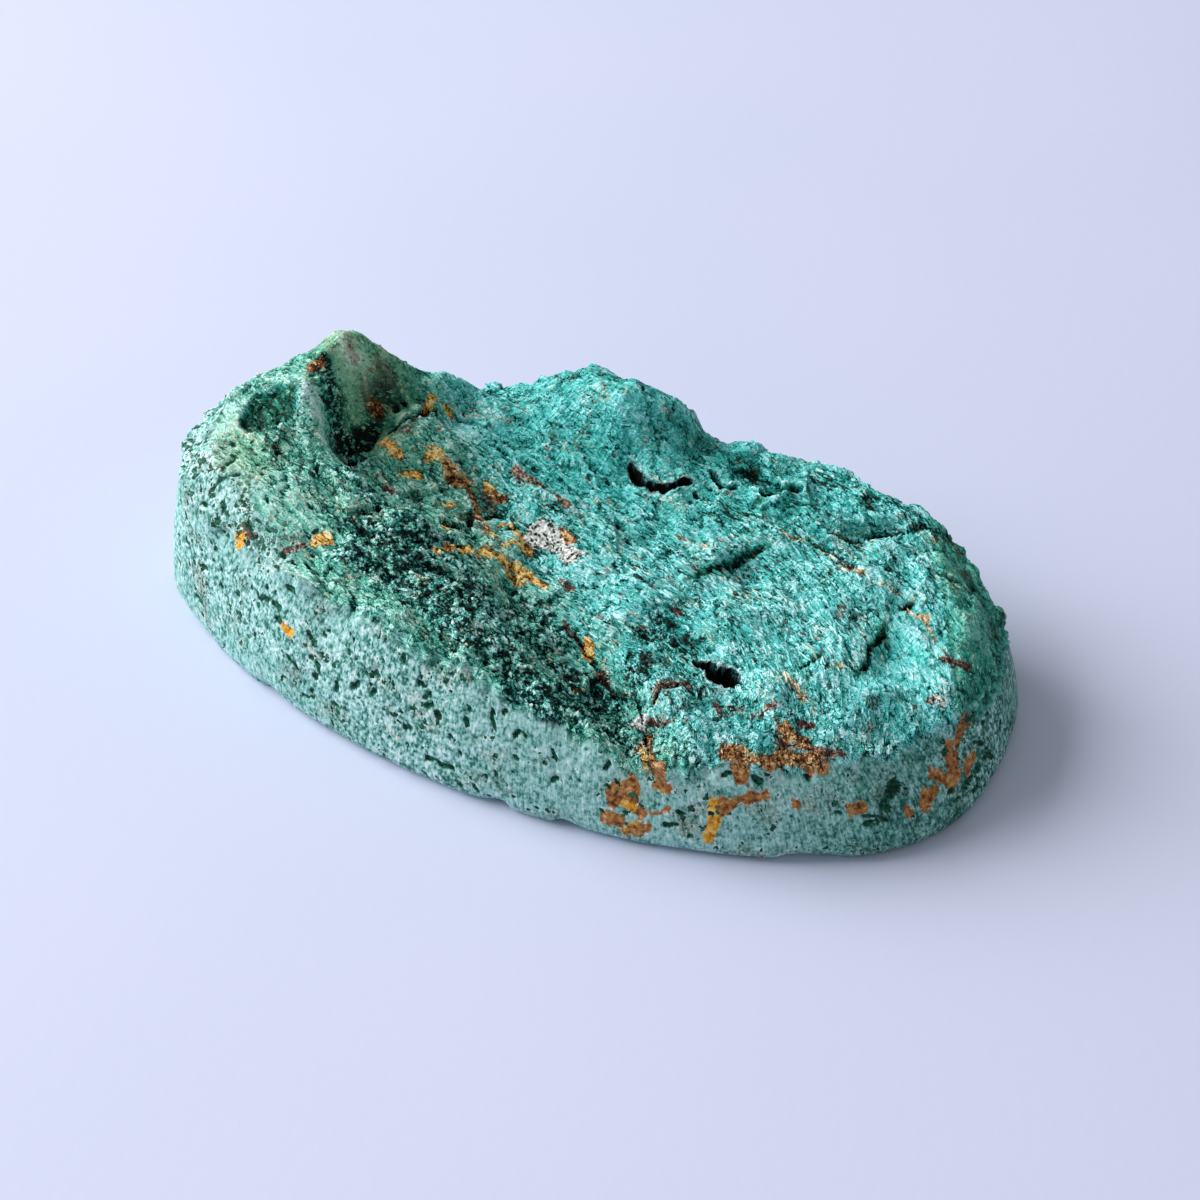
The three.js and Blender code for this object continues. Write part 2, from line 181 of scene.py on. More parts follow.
# %% Lines and scarps
# How softly the face turns at each line, in mm, and its path in shares of the three sizes.
LINES = {
    "peak ridge": (0.8, [[-0.87, 0.1, 0.77], [-0.68, 0.33, 0.98], [-0.55, 0.5, 0.87], [-0.46, 0.66, 0.72]]),
    "peak spur": (0.7, [[-0.7, 0.14, 0.9], [-0.66, 0.02, 0.79], [-0.62, -0.1, 0.69], [-0.52, -0.26, 0.63]]),
    "peak foot": (0.7, [[-0.62, 0.06, 0.53], [-0.59, 0.26, 0.54], [-0.55, 0.46, 0.57], [-0.52, 0.58, 0.6]]),
    "shoulder": (1.6, [[-0.85, -0.24, 0.7], [-0.68, -0.42, 0.67], [-0.45, -0.55, 0.61]]),
    "hollow": (1.4, [[-0.46, 0.11, 0.5], [-0.27, 0.17, 0.43]]),
    "gully": (1.3, [[-0.27, 0.17, 0.43], [-0.09, -0.1, 0.37], [0.11, -0.4, 0.33], [0.32, -0.86, 0.29]]),
    "front crest": (1.4, [[-0.32, -0.66, 0.6], [-0.08, -0.76, 0.54], [0.12, -0.86, 0.46]]),
    "right crest": (1.6, [[0.0, 0.06, 0.53], [0.19, -0.26, 0.5], [0.34, -0.56, 0.47], [0.47, -0.76, 0.44]]),
    "lobe": (1.2, [[-0.44, 0.4, 0.62], [-0.42, 0.6, 0.58]]),
    "back hump": (1.3, [[-0.33, 0.83, 0.6], [-0.2, 0.81, 0.76], [-0.05, 0.79, 0.86], [0.05, 0.82, 0.8]]),
    "back ledge": (1.4, [[0.14, 0.72, 0.58], [0.34, 0.76, 0.56], [0.6, 0.66, 0.56]]),
    "saddle": (1.4, [[-0.3, 0.4, 0.56], [-0.14, 0.32, 0.55], [0.04, 0.3, 0.53]]),
    "middle": (1.6, [[0.24, 0.12, 0.5], [0.45, -0.1, 0.5], [0.7, -0.2, 0.48]]),
    "low crest": (0.8, [[0.76, 0.5, 0.52], [0.85, 0.31, 0.49], [0.93, 0.12, 0.45]]),
}
PULL = 3.2  # how closely the face keeps to its nearest line

# Short edges the face broke lower along: middle in shares, turn in degrees, drop, half length, reach.
SCARPS = {
    "hump end": (0.08, 0.9, 75, 1.5, 2.4, 3),
    "ledge end": (0.25, 0.92, 80, 0.8, 2, 3),
    "crescent": (0.31, 0.24, 53, 0.9, 2.4, 4),
    "upper scarp": (0.57, 0.64, 31, 0.9, 2.6, 3),
    "facet edge": (0.7, 0.02, 95, 0.9, 2.8, 4),
}
SCARP_SLOPE = 0.9  # plan width of a scarp in mm


def nearest(path, x, y):
    """Distance in plan to a line of straight pieces, and the line's height at that nearest place."""
    best, height = np.full(x.shape, np.inf), np.zeros(x.shape)
    for a, b in zip(path[:-1], path[1:]):
        step = b - a
        t = clamped(((x - a[0]) * step[0] + (y - a[1]) * step[1]) / (step[0] ** 2 + step[1] ** 2))
        distance = np.hypot(x - a[0] - t * step[0], y - a[1] - t * step[1])
        height = np.where(distance < best, a[2] + t * step[2], height)
        best = np.minimum(best, distance)
    return best, height


def face_height(x, y, from_rim, rim_height):
    """Mean of the rim's and the lines' heights, each weighted by its closeness, less the scarps.

    A weight is the distance and softness, squared and added, to the power of minus half the pull.
    """
    weight = (from_rim**2 + 1) ** (-PULL / 2)
    total, heights = weight, weight * rim_height
    for softness, path in LINES.values():
        distance, height = nearest(np.array(path) * [HALF_LENGTH, HALF_WIDTH, PEAK_HEIGHT], x, y)
        weight = (distance**2 + softness**2) ** (-PULL / 2)
        total, heights = total + weight, heights + weight * height
    z = heights / total
    for share_x, share_y, degrees, drop, half_length, reach in SCARPS.values():
        u, v = turned(x - share_x * HALF_LENGTH, y - share_y * HALF_WIDTH, degrees)
        fade = np.exp(-((u / half_length) ** 4) - (np.maximum(-v, 0) / reach) ** 2)
        z = z - drop * smooth(0.5 - v / SCARP_SLOPE) * fade
    return z


print(len(LINES), "lines and", len(SCARPS), "scarps shape the face")

# %% [markdown]
# ## Relief finer than the lines
# The ore is foliated: it breaks into thin plates that run slantwise across the stone. Coarse
# plates, lumps and streaks are the plain solid's own. Below them come the plates and grains of a
# quarter to one millimetre that only this mesh carries, rougher along a dark crumbling band at the
# front and nearly gone on the worn shoulder under the peak.

# %% Coarse and fine relief
FOLIATION = -19  # degrees from +X
BEND = {"middle": (1.6, -18.4), "radius": 24}  # mm: right of here the foliation turns round this place
# Each pattern, whether it runs along the foliation, its sizes along and across and rise in mm, seed.
COARSE = [
    (plates, True, 3.4, 2.0, 0.38, 20),
    (noise, False, 2.7, 2.7, 0.4, 3),
    (noise, False, 1.3, 1.3, 0.25, 7),
    (noise, True, 5.0, 1.4, 0.25, 11),
]
# Place in shares of the half sizes, reach in mm, and the share of the relief that is worn away.
WORN_SHOULDER = {"x": -0.83, "y": -0.32, "along": 6.5, "across": 7, "worn": 0.8}


def lie(x, y):
    """Places in mm along and across the foliation, and the degrees it has turned by there.

    It runs straight over the left of the stone; further right it is bent into circles round one
    place, so the distance from that place counts as across and the arc as along.
    """
    u, v = turned(x - BEND["middle"][0], y - BEND["middle"][1], FOLIATION)
    bent = np.arctan2(np.maximum(u, 0), v)
    along, across = np.where(u > 0, BEND["radius"] * bent, u), np.where(u > 0, np.hypot(u, v), v)
    return along, across, FOLIATION - np.degrees(bent)


def worn_shoulder(x, y):
    """How worn the face is by handling: a soft bell over the shoulder, 1 at its middle."""
    off_x, off_y = x - WORN_SHOULDER["x"] * HALF_LENGTH, y - WORN_SHOULDER["y"] * HALF_WIDTH
    return np.exp(-((off_x / WORN_SHOULDER["along"]) ** 2) - (off_y / WORN_SHOULDER["across"]) ** 2)


def coarse_relief(x, y):
    """Plates, lumps and streaks in mm, the same as on the plain solid."""
    rough = 0
    for pattern, foliated, along, across, rise, seed in COARSE:
        u, v = turned(x, y, FOLIATION) if foliated else (x, y)
        rough = rough + rise * pattern(u / along, v / across, seed)
    return (1 - WORN_SHOULDER["worn"] * worn_shoulder(x, y)) * rough


def fine_relief(u, v, rough, around=None):
    """Small plates, splits along the foliation and grains, in mm; rough is 1 on common broken ore.

    A split is a narrow valley: minus the seventh power of one less the size of a stretched noise.
    around is the length after which the relief repeats, fitted to a whole number of cells.
    """
    count = {size: round(around / size) if around else None for size in (1.6, 0.6, 3.2, 0.3)}
    fit = {size: around / n if n else size for size, n in count.items()}
    small = 0.13 * plates(u / fit[1.6], v / 0.6, 31, count[1.6])
    small = small + 0.1 * plates(u / fit[0.6], v / 0.3, 37, count[0.6])
    splits = -0.25 * (1 - np.abs(noise(u / fit[3.2], v / 0.6, 43, count[3.2]))) ** 7
    grains = 0.06 * noise(u / fit[0.3], v / 0.26, 47, count[0.3])
    return rough * (small + splits + grains)


print("coarse relief at the middle, mm:", coarse_relief(np.zeros(1), np.zeros(1)).round(2))

# %% [markdown]
# ## Cavities and the slit
# One black pit near the middle, a glassy pocket beside the peak, a slit below the back hump and
# narrow crevices along the scarps and veins are sunk in the face. They could be cut with Boolean
# modifiers. Here the surface is simply lowered, because the bowls are shallow and a lowered grid
# stays one clean closed skin.

# %% Depth of the cavities
# Place in shares of the half sizes, half sizes along, across and down in mm, turn in degrees.
CAVITIES = {
    "black pit": (0.425, -0.382, 1.15, 0.72, 2.4, 12),
    "pit tail": (0.385, -0.362, 1.2, 0.38, 1.6, -4),
    "glassy pocket": (-0.775, 0.01, 2.1, 1.6, 0.9, 20),
    "under the peak": (-0.6, 0.2, 1.7, 0.7, 0.9, 70),
    "cave": (-0.26, 0.2, 1.1, 0.5, 0.7, 20),
    "back pit": (0.33, 0.62, 0.9, 0.7, 1.1, 60),
    "ledge pit": (0.37, 0.7, 0.7, 0.5, 0.9, 20),
    "gully pit": (0.16, -0.52, 1.0, 0.6, 1.0, -60),
}
# Half width and depth in mm of each narrow crevice, and the places x, y that it runs through.
CREVICES = {
    "slit": (0.24, 1.8, [[-0.1, 8.3], [1.2, 7.5], [2.9, 7.4], [4.6, 8.8]]),
    "crescent": (0.3, 0.35, [[8.2, 1.9], [9.1, 3.0], [10.0, 4.6], [11.2, 5.3]]),
    "upper scarp": (0.26, 0.8, [[14.6, 7.7], [16.2, 8.2], [17.8, 9.9], [19.6, 10.7]]),
    "facet edge": (0.22, 0.6, [[20.9, 2.2], [20.7, 1.6], [20.4, 0.5], [20.9, -1.2], [20.8, -2.5]]),
    "facet wedge": (0.22, 0.5, [[17.2, -3.7], [17.6, -3.1], [18.1, -2.5]]),
    "facet hole": (0.34, 0.5, [[21.3, 3.7], [21.9, 4.4]]),
    "shelf foot": (0.25, 0.5, [[13.6, 6.9], [15.8, 6.4], [18.6, 6.6], [20.8, 6.8]]),
    "gully split": (0.18, 0.5, [[0.6, -3.9], [2.3, -5.0], [4.6, -6.9], [6.1, -8.2], [8.4, -9.4],
                                [10.6, -12.7]]),
    "maroon split": (0.25, 0.6, [[9.6, -9.9], [9.7, -9.0], [10.8, -8.2]]),
    "hump foot": (0.3, 0.8, [[5.0, 10.4], [6.6, 9.2], [7.6, 9.8]]),
    "vein crevice": (0.3, 0.8, [[-9.4, 2.6], [-8.9, 1.4], [-8.2, 0.6]]),
    "vein hollow": (0.5, 0.6, [[-10.2, -0.6], [-9.2, 0.4], [-8.2, 0.4]]),
    "peak crevice": (0.3, 1.0, [[-16.6, 4.4], [-15.6, 5.0], [-15.0, 5.6], [-14.4, 6.8], [-14.2, 7.6]]),
    "peak hole": (0.35, 0.9, [[-17.6, 3.1], [-17.1, 3.4]]),
    "hollow holes": (0.3, 0.8, [[-19.0, 0.4], [-18.1, 0.9], [-17.2, 1.6]]),
}
BLACK_SHADE, GLASSY = ("black pit", "pit tail"), ("glassy pocket",)


def sunk(x, y, names=tuple(CAVITIES), crevices=tuple(CREVICES)):
    """Depth in mm below the face: a cavity is half an egg, a crevice a trough with tapered ends."""
    ragged = 0.22 * noise(x / 0.8, y / 0.8, 51)
    depth = np.zeros(x.shape)
    for share_x, share_y, along, across, down, degrees in (CAVITIES[name] for name in names):
        u, v = turned(x - share_x * HALF_LENGTH, y - share_y * HALF_WIDTH, degrees)
        within = clamped(1 - (u / along) ** 2 - (v / across) ** 2 + ragged)
        depth = np.maximum(depth, down * np.sqrt(within))
    for half_width, down, path in (CREVICES[name] for name in crevices):
        distance, along = nearest(np.column_stack([path, np.linspace(-1, 1, len(path))]), x, y)
        width = half_width * (1 - along**4) * (1 + 2.5 * ragged)
        depth = np.maximum(depth, down * smooth(1.5 - 1.5 * distance / np.maximum(width, 0.05)))
    return depth


# The low fold where the face ends and the blunt end falls away: places x, y, rise and both reaches.
END_FOLD = np.array([
    [21.6, 9.6, 0], [23.4, 6.8, 0.8], [25.5, 3.0, 1.0], [27.2, -0.6, 0.6], [27.6, -2.6, 0],
])
FOLD_REACH = {"face": 4.5, "end": 1.8}


def past_fold(x, y):
    """Distance in mm past the line of the fold, towards the blunt end, and the fold's rise there."""
    distance, rise = nearest(END_FOLD, x, y)
    (from_x, from_y), (to_x, to_y) = END_FOLD[0, :2], END_FOLD[-1, :2]
    side = (x - from_x) * (from_y - to_y) + (y - from_y) * (to_x - from_x)
    return distance * np.sign(side), rise


def folded(x, y):
    """Rise of the fold: a straight slope up to its line from the face, a steeper one from the end."""
    past, rise = past_fold(x, y)
    reach = np.where(past > 0, FOLD_REACH["end"], FOLD_REACH["face"])
    return rise * clamped(1 - np.abs(past) / reach)


pit_place = np.array(CAVITIES["black pit"][:2]) * [HALF_LENGTH, HALF_WIDTH]
print("depth in the black pit, mm:", sunk(*pit_place[:, None]).round(2))

# %% [markdown]
# ## Where each stain and texture lies
# Ochre runs in thin veins below the peak, rust cakes the front rim, a white speckled patch lies in
# the middle and cream seams cross the right half. Dark green grooves at the foot of the scarps are
# painted shade, a dark crumbling band that follows the front crest is partly painted shade, and
# deep hollows are painted shade and duller crystal. Each is a line or a spot in the stone's own
# millimetres with a half width, and the colour's share falls off past it. Painting them in texture
# paint would give an image; a share worked out for every place gives none.

# %% Ochre and rust
# Each line is a half width in mm and the places it runs through: x and y on the face, and z on the
# side.
# Ochre: thin veins below the peak, and a few spots on the side.
OCHRE = [
    (0.27, [[-8.4, -4.4], [-8.0, -3.2], [-7.2, -2.2], [-6.5, -1.2], [-5.5, -1.0]]),
    (0.2, [[-5.4, -1.0], [-4.6, -0.9], [-3.5, -1.1], [-2.6, -1.3], [-1.5, -1.8]]),
    (0.16, [[-4.3, -1.5], [-3.5, -1.7]]), (0.03, [[-8.7, 2.3], [-7.2, 0.9], [-5.8, 0.1]]),
    (0.15, [[-7.0, 2.3], [-6.1, 2.3], [-5.2, 1.6], [-4.4, 1.0], [-3.9, 0.7]]),
    (0.15, [[-5.8, -0.2], [-5.0, 0.7], [-4.3, 0.7]]), (0.2, [[-16.4, 3.6], [-15.5, 3.1], [-14.9, 3.1]]),
    (0.15, [[-14.4, 2.3], [-13.5, 2.8]]), (0.15, [[-13.2, 4.0], [-12.4, 4.1]]),
    (0.15, [[-11.0, 1.7], [-10.3, 2.3]]), (0.08, [[-9.0, 4.5], [-8.5, 4.4]]),
    (0.2, [[-4.6, -1.4], [-3.6, -1.6]]), (0.15, [[-9.6, -0.9], [-9.6, -0.0]]),
    (0.15, [[-14.6, 6.2], [-14.7, 7.6]]), (0.12, [[-13.8, 8.2], [-13.7, 8.2]]),
    (0.2, [[-15.8, -7.5], [-15.5, -7.1], [-14.7, -7.3]]), (0.15, [[-21.3, -8.2], [-21.0, -8.2]]),
    (0.24, [[2.8, -5.1], [3.3, -5.8]]), (0.12, [[9.6, -11.7], [10.1, -12.5], [10.6, -13.3]]),
    (0.15, [[3.9, -9.3], [4.2, -9.2]]), (0.15, [[16.0, -10.7], [16.5, -10.8]]),
    (0.34, [[15.2, -13.3, 4.0], [15.4, -13.4, 3.3]]), (0.24, [[15.3, -13.5, 2.8], [15.2, -13.8, 2.0]]),
    (0.15, [[9.4, -14.5, 3.3], [10.2, -14.4, 3.1]]), (0.15, [[10.0, -14.9, 1.5], [10.5, -14.7, 2.0]]),
    (0.12, [[21.9, -8.8, 4.6], [22.7, -8.7, 4.8]]),
    (0.02, [[-16.6, -11.5, 6.3], [-15.9, -11.7, 6.1], [-15.6, -11.8, 6.2]]),
]
# Rust: along the veins' upper edge, caked on the front rim and on the blunt end.
RUST = [
    (0.05, [[-11.9, 4.0], [-10.6, 3.8], [-9.6, 3.6], [-8.7, 2.3], [-7.2, 0.9]]),
    (0.2, [[-11.6, 3.8], [-11.0, 3.8], [-10.4, 3.9]]), (0.0, [[-10.2, 3.7], [-9.7, 3.5], [-9.0, 3.1]]),
    (0.02, [[-8.7, 4.3], [-7.9, 4.2], [-7.3, 4.0]]), (0.1, [[-17.8, 4.9], [-17.5, 5.4]]),
    (0.24, [[-21.5, 3.0], [-20.9, 3.4]]), (0.29, [[15.3, -11.3], [16.0, -10.9]]),
    (0.29, [[16.9, -11.1], [17.9, -10.6]]),
    (0.34, [[18.5, -9.9], [19.5, -9.5], [20.2, -9.3], [20.9, -9.2]]),
    (0.29, [[17.9, -8.3], [18.7, -8.5], [19.3, -8.6]]),
    (0.15, [[9.8, -11.3], [10.6, -12.7], [11.3, -13.3], [11.7, -13.3]]), (0.15, [[-2.1, 2.0], [-1.3, 1.5]]),
    (0.34, [[16.2, -11.7, 7.0], [16.5, -11.9, 6.3]]), (0.2, [[11.3, -13.7, 5.0], [12.3, -13.6, 4.8]]),
    (0.39, [[9.0, -14.5, 3.6], [9.2, -14.3, 4.1], [10.0, -14.0, 4.3]]),
    (0.24, [[16.6, -12.6, 4.6], [17.3, -12.3, 4.8], [18.1, -11.8, 5.0]]),
    (0.24, [[15.8, -13.1, 4.2], [16.6, -12.6, 4.6]]),
    (0.15, [[27.8, -1.4, 6.3], [27.7, -2.3, 6.0], [27.7, -3.0, 5.5]]),
    (0.39, [[27.5, -3.6, 5.3], [27.9, -3.8, 4.5], [28.2, -3.9, 3.8], [28.1, -4.5, 3.5]]),
    (0.24, [[28.6, -3.1, 3.6], [28.7, -2.4, 4.0]]), (0.24, [[27.5, -5.1, 4.2], [26.9, -5.4, 4.7]]),
    (0.2, [[27.4, -5.6, 3.6], [27.1, -6.2, 3.2], [26.9, -6.7, 2.9]]),
    (0.15, [[26.2, -7.6, 2.9], [26.4, -7.5, 2.8]]), (0.12, [[23.1, -9.7, 4.1], [23.8, -9.3, 3.8]]),
    (0.12, [[19.9, -11.2, 4.5], [20.1, -11.1, 4.5]]), (0.15, [[8.6, -15.0, 2.1], [9.7, -14.8, 2.1]]),
    (0.15, [[10.1, -14.9, 1.5], [10.9, -14.8, 1.5], [11.4, -14.6, 2.0]]),
    (0.12, [[10.8, -14.4, 2.8], [11.7, -14.3, 2.9], [12.5, -14.0, 3.5]]),
]
print("lines of ochre and rust:", len(OCHRE), "and", len(RUST))

# %% Maroon streaks and brown film
# Maroon: short thin streaks between the plates.
RED_BROWN = [
    (0.15, [[-8.0, 5.9], [-6.8, 5.3], [-6.0, 5.1], [-5.0, 4.8]]),
    (0.1, [[-5.0, 4.8], [-4.3, 4.6], [-3.1, 3.9], [-1.9, 3.5]]),
    (0.12, [[0.6, -3.9], [1.3, -4.6], [2.3, -5.0]]), (0.12, [[4.6, -6.9], [5.4, -7.6], [6.1, -8.2]]),
    (0.2, [[9.6, -9.7], [9.6, -9.2], [9.6, -8.8]]), (0.17, [[9.8, -8.6], [10.6, -8.2], [11.1, -8.0]]),
    (0.2, [[13.2, -8.0], [13.9, -9.0]]), (0.1, [[13.8, -7.9], [15.1, -7.8], [15.9, -8.2]]),
    (0.2, [[16.3, -7.9], [16.8, -7.4]]), (0.2, [[17.3, -8.1], [17.9, -8.3]]),
    (0.2, [[18.0, -9.2], [19.3, -8.9], [20.5, -8.6], [21.8, -8.2]]),
    (0.24, [[25.3, 1.2], [26.0, 1.4], [26.8, 1.5]]), (0.2, [[25.5, -2.4], [25.8, -1.9]]),
    (0.17, [[16.5, 6.0], [17.2, 5.8]]), (0.09, [[9.7, -10.5], [10.6, -10.5], [12.9, -10.0]]),
    (0.15, [[-17.6, -8.6], [-16.8, -8.3], [-16.4, -7.9]]), (0.2, [[-14.8, 0.4], [-14.2, 0.4]]),
    (0.15, [[-13.2, 0.0], [-12.8, 0.4]]), (0.17, [[-14.3, -3.0], [-14.0, -3.3]]),
    (0.1, [[-15.8, 0.8], [-15.5, 1.1]]), (0.1, [[-21.2, -7.7], [-20.3, -8.1]]),
    (0.12, [[7.9, -2.1], [8.3, -2.2]]), (0.12, [[-0.8, -1.5], [-0.0, -1.7], [0.7, -1.8]]),
    (0.12, [[18.6, -7.4], [19.3, -7.3]]),
]
# Brown film: broad and faint, mostly round the peak.
BROWN = [
    (0.35, [[0.9, 11.6], [2.5, 11.6], [3.4, 11.2]]), (0.44, [[-15.6, 4.2], [-15.0, 4.6], [-14.7, 5.5]]),
    (0.34, [[-21.5, 3.0], [-20.9, 3.6]]), (0.29, [[-19.5, 5.3], [-19.3, 5.0]]),
    (0.39, [[-18.3, 4.8], [-17.8, 5.5]]), (0.49, [[-17.2, 6.9], [-17.9, 5.8]]),
    (0.44, [[-9.7, 1.7], [-8.1, 0.9], [-6.8, 0.5]]), (0.39, [[-8.9, 3.8], [-8.1, 3.7]]),
    (0.34, [[21.1, 4.0], [21.9, 4.6]]), (0.44, [[23.6, 9.0], [24.4, 9.0], [25.1, 8.9]]),
    (0.2, [[19.7, 4.3], [18.4, 4.8], [17.3, 5.2]]), (0.2, [[22.0, -4.4], [22.5, -4.4]]),
]
print("lines of maroon and brown:", len(RED_BROWN), "and", len(BROWN))

# %% Cream, green and white
# Cream seams: thin, on the right half of the face.
CREAM = [
    (0.14, [[15.0, 6.4], [16.6, 5.6], [18.5, 4.9], [19.6, 4.5], [20.4, 4.7], [20.9, 4.8]]),
    (0.06, [[21.8, 3.8], [23.2, 3.4], [24.0, 2.7], [24.8, 1.9], [25.4, 1.4]]),
    (0.12, [[22.5, 3.6], [23.2, 3.7]]), (0.12, [[16.7, -4.8], [17.3, -5.2], [18.4, -5.8]]),
    (0.07, [[18.1, -3.4], [18.9, -3.3], [19.6, -2.6]]), (0.12, [[22.8, -5.5], [22.7, -6.2]]),
    (0.08, [[9.7, 7.2], [12.2, 6.7], [14.0, 6.8]]), (0.06, [[5.2, 4.2], [8.0, 4.0], [10.4, 3.2]]),
]
# Dark green: painted shade in the grooves at the foot of the scarps, in the ore's deep green.
SCARP_SHADE = [
    (0.2, [[7.6, 1.2], [8.4, 2.2], [9.1, 3.0], [10.0, 4.6], [11.2, 5.3]]),
    (0.12, [[15.4, 8.0], [16.6, 8.4], [17.8, 9.9]]),
    (0.14, [[20.8, 2.4], [20.7, 1.6], [20.4, 0.5], [20.8, -1.2], [20.8, -2.5]]),
    (0.12, [[17.2, -3.7], [18.1, -2.5]]), (0.2, [[21.3, 3.7], [21.9, 4.4]]),
    (0.3, [[9.4, 8.4], [9.7, 9.0]]), (0.18, [[12.4, 9.6], [13.2, 9.7]]), (0.14, [[13.6, 6.9], [15.8, 6.4]]),
    (0.3, [[7.4, 11.2], [7.9, 12.0]]), (0.15, [[-15.2, 5.6], [-14.4, 6.8]]),
]
# White: the speckled patch in the middle, and three specks.
WHITE = [
    (0.37, [[-4.4, 2.0], [-3.3, 1.8], [-1.9, 1.2], [-0.5, 0.3]]), (0.15, [[8.7, -10.7], [9.1, -10.6]]),
    (0.12, [[25.9, -2.0], [26.2, -2.1]]), (0.12, [[9.6, -11.7], [9.9, -12.3]]),
]
print("lines of cream, green and white:", len(CREAM), len(SCARP_SHADE), len(WHITE))

# %% The dark band and the deep hollows
# The dark crumbling band along the front crest, and its side arms: partly the ore's own dark
# crumbly crystal and partly painted shade.
DARK_BAND_AND_SHADE = [
    (1.1, [[-12.9, -7.9], [-9.8, -7.8], [-6.4, -8.9], [-3.0, -10.4]]),
    (1.1, [[-3.0, -10.4], [-0.4, -11.0], [2.1, -11.8], [4.6, -12.1]]),
    (0.88, [[4.6, -12.3], [6.6, -11.4], [8.7, -12.0]]), (0.69, [[2.5, -7.8], [3.9, -9.3], [5.7, -9.3]]),
    (0.3, [[-20.6, 3.4], [-19.4, 2.4], [-18.2, 2.0], [-17.6, 1.2]]),
    (0.73, [[-11.4, -3.6], [-9.6, -3.7], [-9.0, -2.7]]),
    (0.9, [[-14.0, -5.2], [-9.0, -6.0], [-3.0, -7.6], [1.4, -8.6]]), (0.5, [[-16.6, -1.4], [-13.8, -2.6]]),
    (0.49, [[-2.9, -3.2], [-0.5, -4.3], [0.7, -5.8]]), (0.35, [[6.9, -3.4], [8.2, -4.6], [9.6, -4.4]]),
    (0.3, [[-15.6, 5.2], [-14.4, 6.4]]), (0.3, [[6.6, -6.4], [7.6, -7.6], [7.8, -9.2]]),
    (0.5, [[-9.4, -3.6], [-6.6, -5.0], [-3.0, -5.4], [0.2, -6.6]]),
]
# Hollows painted dark: painted shade where little light reaches, and duller, less clean crystal.
DEEP_SHADE = [
    (0.59, [[3.5, 12.6], [6.7, 12.1], [9.7, 10.1], [11.6, 9.0]]),
    (0.44, [[5.6, 5.8], [7.3, 7.0], [9.4, 7.2]]), (0.44, [[16.3, 11.7], [20.2, 11.8]]),
    (0.49, [[6.2, -4.0], [8.1, -4.4], [10.0, -4.6]]), (0.44, [[9.7, -4.0], [10.6, -4.5]]),
    (0.54, [[5.6, -8.8], [7.5, -11.0], [8.5, -12.1]]),
    (0.29, [[8.2, 1.9], [9.1, 3.0], [10.0, 4.6], [11.2, 5.3]]),
    (0.25, [[-20.6, 3.4], [-19.6, 2.4], [-18.6, 2.2]]),
    (0.24, [[-17.4, 4.9], [-16.0, 5.3], [-15.2, 6.1], [-15.0, 7.6]]),
    (0.24, [[20.7, 1.9], [20.6, 0.5], [20.9, -2.3]]), (0.2, [[17.3, -3.5], [18.0, -2.6]]),
    (0.39, [[1.1, 10.3], [2.9, 12.3]]), (0.34, [[-11.0, -4.5], [-9.6, -3.7]]),
    (0.44, [[3.0, -7.3], [3.1, -9.1]]), (0.5, [[7.4, -3.4], [9.0, -3.6], [10.4, -4.4]]),
    (0.5, [[7.2, -6.2], [7.8, -7.6], [8.0, -9.4]]), (0.5, [[-7.0, 13.2], [-3.8, 12.9], [-0.9, 12.5]]),
    (0.5, [[4.6, -10.8], [5.6, -9.6]]), (0.3, [[-15.4, 5.3], [-14.7, 5.1]]),
    (0.3, [[-15.2, 5.9], [-14.4, 7.3]]), (0.6, [[8.6, -5.6], [10.2, -6.6], [11.8, -7.8]]),
]
print("lines of the dark band and the hollows:", len(DARK_BAND_AND_SHADE), "and", len(DEEP_SHADE))

